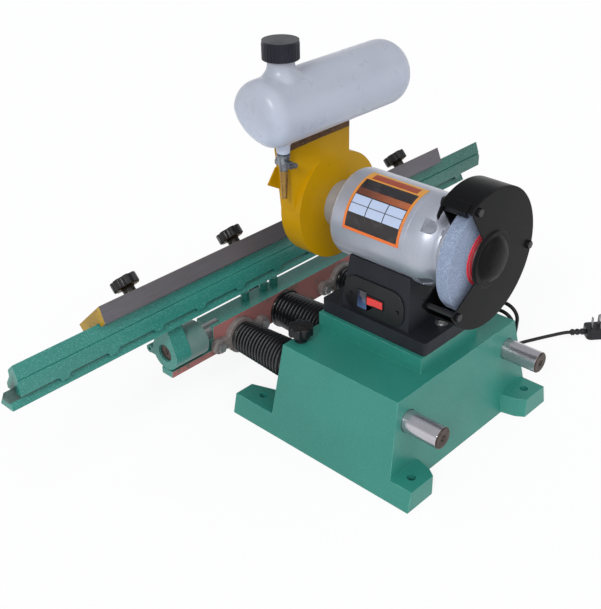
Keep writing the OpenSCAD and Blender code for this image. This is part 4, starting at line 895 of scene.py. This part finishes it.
# smoked window with a painted reflection that lightens its bottom, and the rim round the rocker,
# both on the switch plate
switchTrim = {"faceX": 52.5, "windowY": -19, "windowZ": 198, "windowW": 15.4, "windowH": 26.4,
              "windowT": 1.3, "windowSunk": 0.35, "windowRound": 0.5, "windowSteps": 3,
              "rockerY": 3.5, "rockerZ": 201, "rimW": 29.4, "rimH": 15.5, "rim": 1.7, "rimT": 1.1,
              "rimCorner": 2.2, "cornerSteps": 4, "rimRound": 0.3, "rimSteps": 2,
              "rimSharp": 1}  # radians
smokeAndReflectionLook = {"low": tint(88, 108, 156), "high": tint(30, 34, 46), "below": 14, "above": 6,
             "streak": (60, 3, (1, 1, 0.2)), "streakSpan": (0.4, 0.7, 0, 0.35),
             "streakInk": tint(30, 34, 48), "rough": 0.12, "coat": 0.5,
             "streakStrength": 0.05, "streakDepth": 0.0003}


def smokedWindowAndReflection(name, look, middle):
    mat, tree, bsdf, where = newFinish(name)
    height = addNode(tree, "ShaderNodeSeparateXYZ", {0: where}).outputs[2]
    share = spread(tree, height, (middle - look["below"]) * mm, (middle + look["above"]) * mm)
    streak = grain(tree, where, *look["streak"])
    # dark smoked colour at the top, lighter and bluer towards the bottom as a painted reflection
    colour = blendColour(tree, share, look["low"], look["high"])
    dark = spread(tree, streak, *look["streakSpan"])
    tree.links.new(blendColour(tree, dark, colour, look["streakInk"]), bsdf.inputs["Base Color"])
    bsdf.inputs["Roughness"].default_value = look["rough"]
    bsdf.inputs["Coat Weight"].default_value = look["coat"]
    dent(tree, bsdf, streak, look["streakStrength"], look["streakDepth"])
    return mat


def fitWindow(look):
    work = bmesh.new()
    bmesh.ops.create_cube(work, size=mm)
    bmesh.ops.scale(work, vec=(look["windowT"], look["windowW"], look["windowH"]), verts=work.verts)
    roundEdges(work, work.edges[:], look["windowRound"], look["windowSteps"])
    spot = inMetres((look["faceX"] - look["windowSunk"], look["windowY"], look["windowZ"]))
    bmesh.ops.translate(work, vec=spot, verts=work.verts)
    finish = smokedWindowAndReflection("smokedWindowAndReflection", smokeAndReflectionLook, look["windowZ"])
    finishPiece("switchWindow", work, [finish], "frame")


def fitRim(look):
    work = bmesh.new()
    bmesh.ops.create_grid(work, x_segments=1, y_segments=1, size=0.5 * mm)
    bmesh.ops.scale(work, vec=(look["rimH"], look["rimW"], 1), verts=work.verts)
    bmesh.ops.bevel(work, geom=work.verts[:], offset=look["rimCorner"] * mm, affect="VERTICES",
                    segments=look["cornerSteps"], profile=0.5, material=-1)
    middle = list(work.faces)
    bmesh.ops.inset_region(work, faces=middle, thickness=look["rim"] * mm, use_even_offset=True,
                           use_boundary=True)
    bmesh.ops.delete(work, geom=middle, context="FACES")
    raised = bmesh.ops.extrude_face_region(work, geom=work.faces[:])["geom"]
    raisedVerts = [g for g in raised if isinstance(g, bmesh.types.BMVert)]
    bmesh.ops.translate(work, vec=(0, 0, look["rimT"] * mm), verts=raisedVerts)
    edges = [e for e in work.edges if e.calc_face_angle(0) > look["rimSharp"]]
    roundEdges(work, edges, look["rimRound"], look["rimSteps"])
    spot = inMetres((look["faceX"], look["rockerY"], look["rockerZ"]))
    stand = Matrix.Translation(spot) @ Matrix.Rotation(math.pi / 2, 4, "Y")
    bmesh.ops.transform(work, matrix=stand, verts=work.verts)
    finishPiece("rockerRim", work, [mouldedBlack], "frame")


fitWindow(switchTrim)
fitRim(switchTrim)
print("label and switch trim fitted")


# pale floor and soft light
studio = {"floor": tint(246, 246, 246), "floorReach": 40, "floorSteps": 96, "floorRough": 0.9,
          "floorGlow": 0.88, "sky": (0.49, 0.50, 0.52, 1), "haze": (1, 1, 1, 1),
          "hazeRise": (0.2, 0.35)}
studioLamps = {"key": {"from": (0.86, 0.34, 0.62), "level": 1.4, "spread": 14},
               "fill": {"from": (0.12, 0.62, 0.85), "level": 0.95, "spread": 60},
               "front": {"from": (0.72, 0.70, 0.30), "level": 0.2, "spread": 40}}


def seenDirectly(tree):
    rays = tree.nodes.new("ShaderNodeLightPath")
    seen = sums(tree, "MAXIMUM", rays.outputs["Is Camera Ray"], rays.outputs["Is Glossy Ray"])
    return sums(tree, "MAXIMUM", seen, rays.outputs["Is Transmission Ray"])


def layFloor(look):
    work = bmesh.new()
    bmesh.ops.create_circle(work, cap_ends=True, segments=look["floorSteps"],
                            radius=look["floorReach"])
    mesh = bpy.data.meshes.new("paleFloor")
    work.to_mesh(mesh)
    work.free()
    floor = bpy.data.objects.new("paleFloor", mesh)
    scene.collection.objects.link(floor)
    mat, tree, bsdf = newFinish("paleFloor")[:3]
    bsdf.inputs["Base Color"].default_value = look["floor"]
    bsdf.inputs["Roughness"].default_value = look["floorRough"]
    glow = addNode(tree, "ShaderNodeEmission", {"Color": look["haze"], "Strength": 1})
    share = sums(tree, "MULTIPLY", seenDirectly(tree), look["floorGlow"])
    shaders = {0: share, 1: bsdf.outputs[0], 2: glow.outputs[0]}
    both = addNode(tree, "ShaderNodeMixShader", shaders)
    tree.links.new(both.outputs[0], tree.nodes["Material Output"].inputs["Surface"])
    mesh.materials.append(mat)


def hangSky(look):
    world = bpy.data.worlds.new("softSky")
    scene.world = world
    world.use_nodes = True
    tree = world.node_tree
    way = tree.nodes.new("ShaderNodeTexCoord").outputs["Generated"]
    height = addNode(tree, "ShaderNodeSeparateXYZ", {0: way}).outputs[2]
    # white above the horizon, where the floor ends
    low = spread(tree, height, *look["hazeRise"], 1, 0)
    share = sums(tree, "MULTIPLY", low, seenDirectly(tree))
    colour = blendColour(tree, share, look["sky"], look["haze"])
    tree.links.new(colour, tree.nodes["Background"].inputs[0])


def hangLamp(name, look):
    lamp = bpy.data.lights.new(name, "SUN")
    lamp.energy = look["level"]
    lamp.angle = math.radians(look["spread"])
    obj = bpy.data.objects.new(name, lamp)
    obj.rotation_euler = Vector(look["from"]).to_track_quat("Z", "Y").to_euler()
    scene.collection.objects.link(obj)


layFloor(studio)
hangSky(studio)
for lampName, lampLook in studioLamps.items():
    hangLamp(lampName + "Light", lampLook)
print("floor and light set")
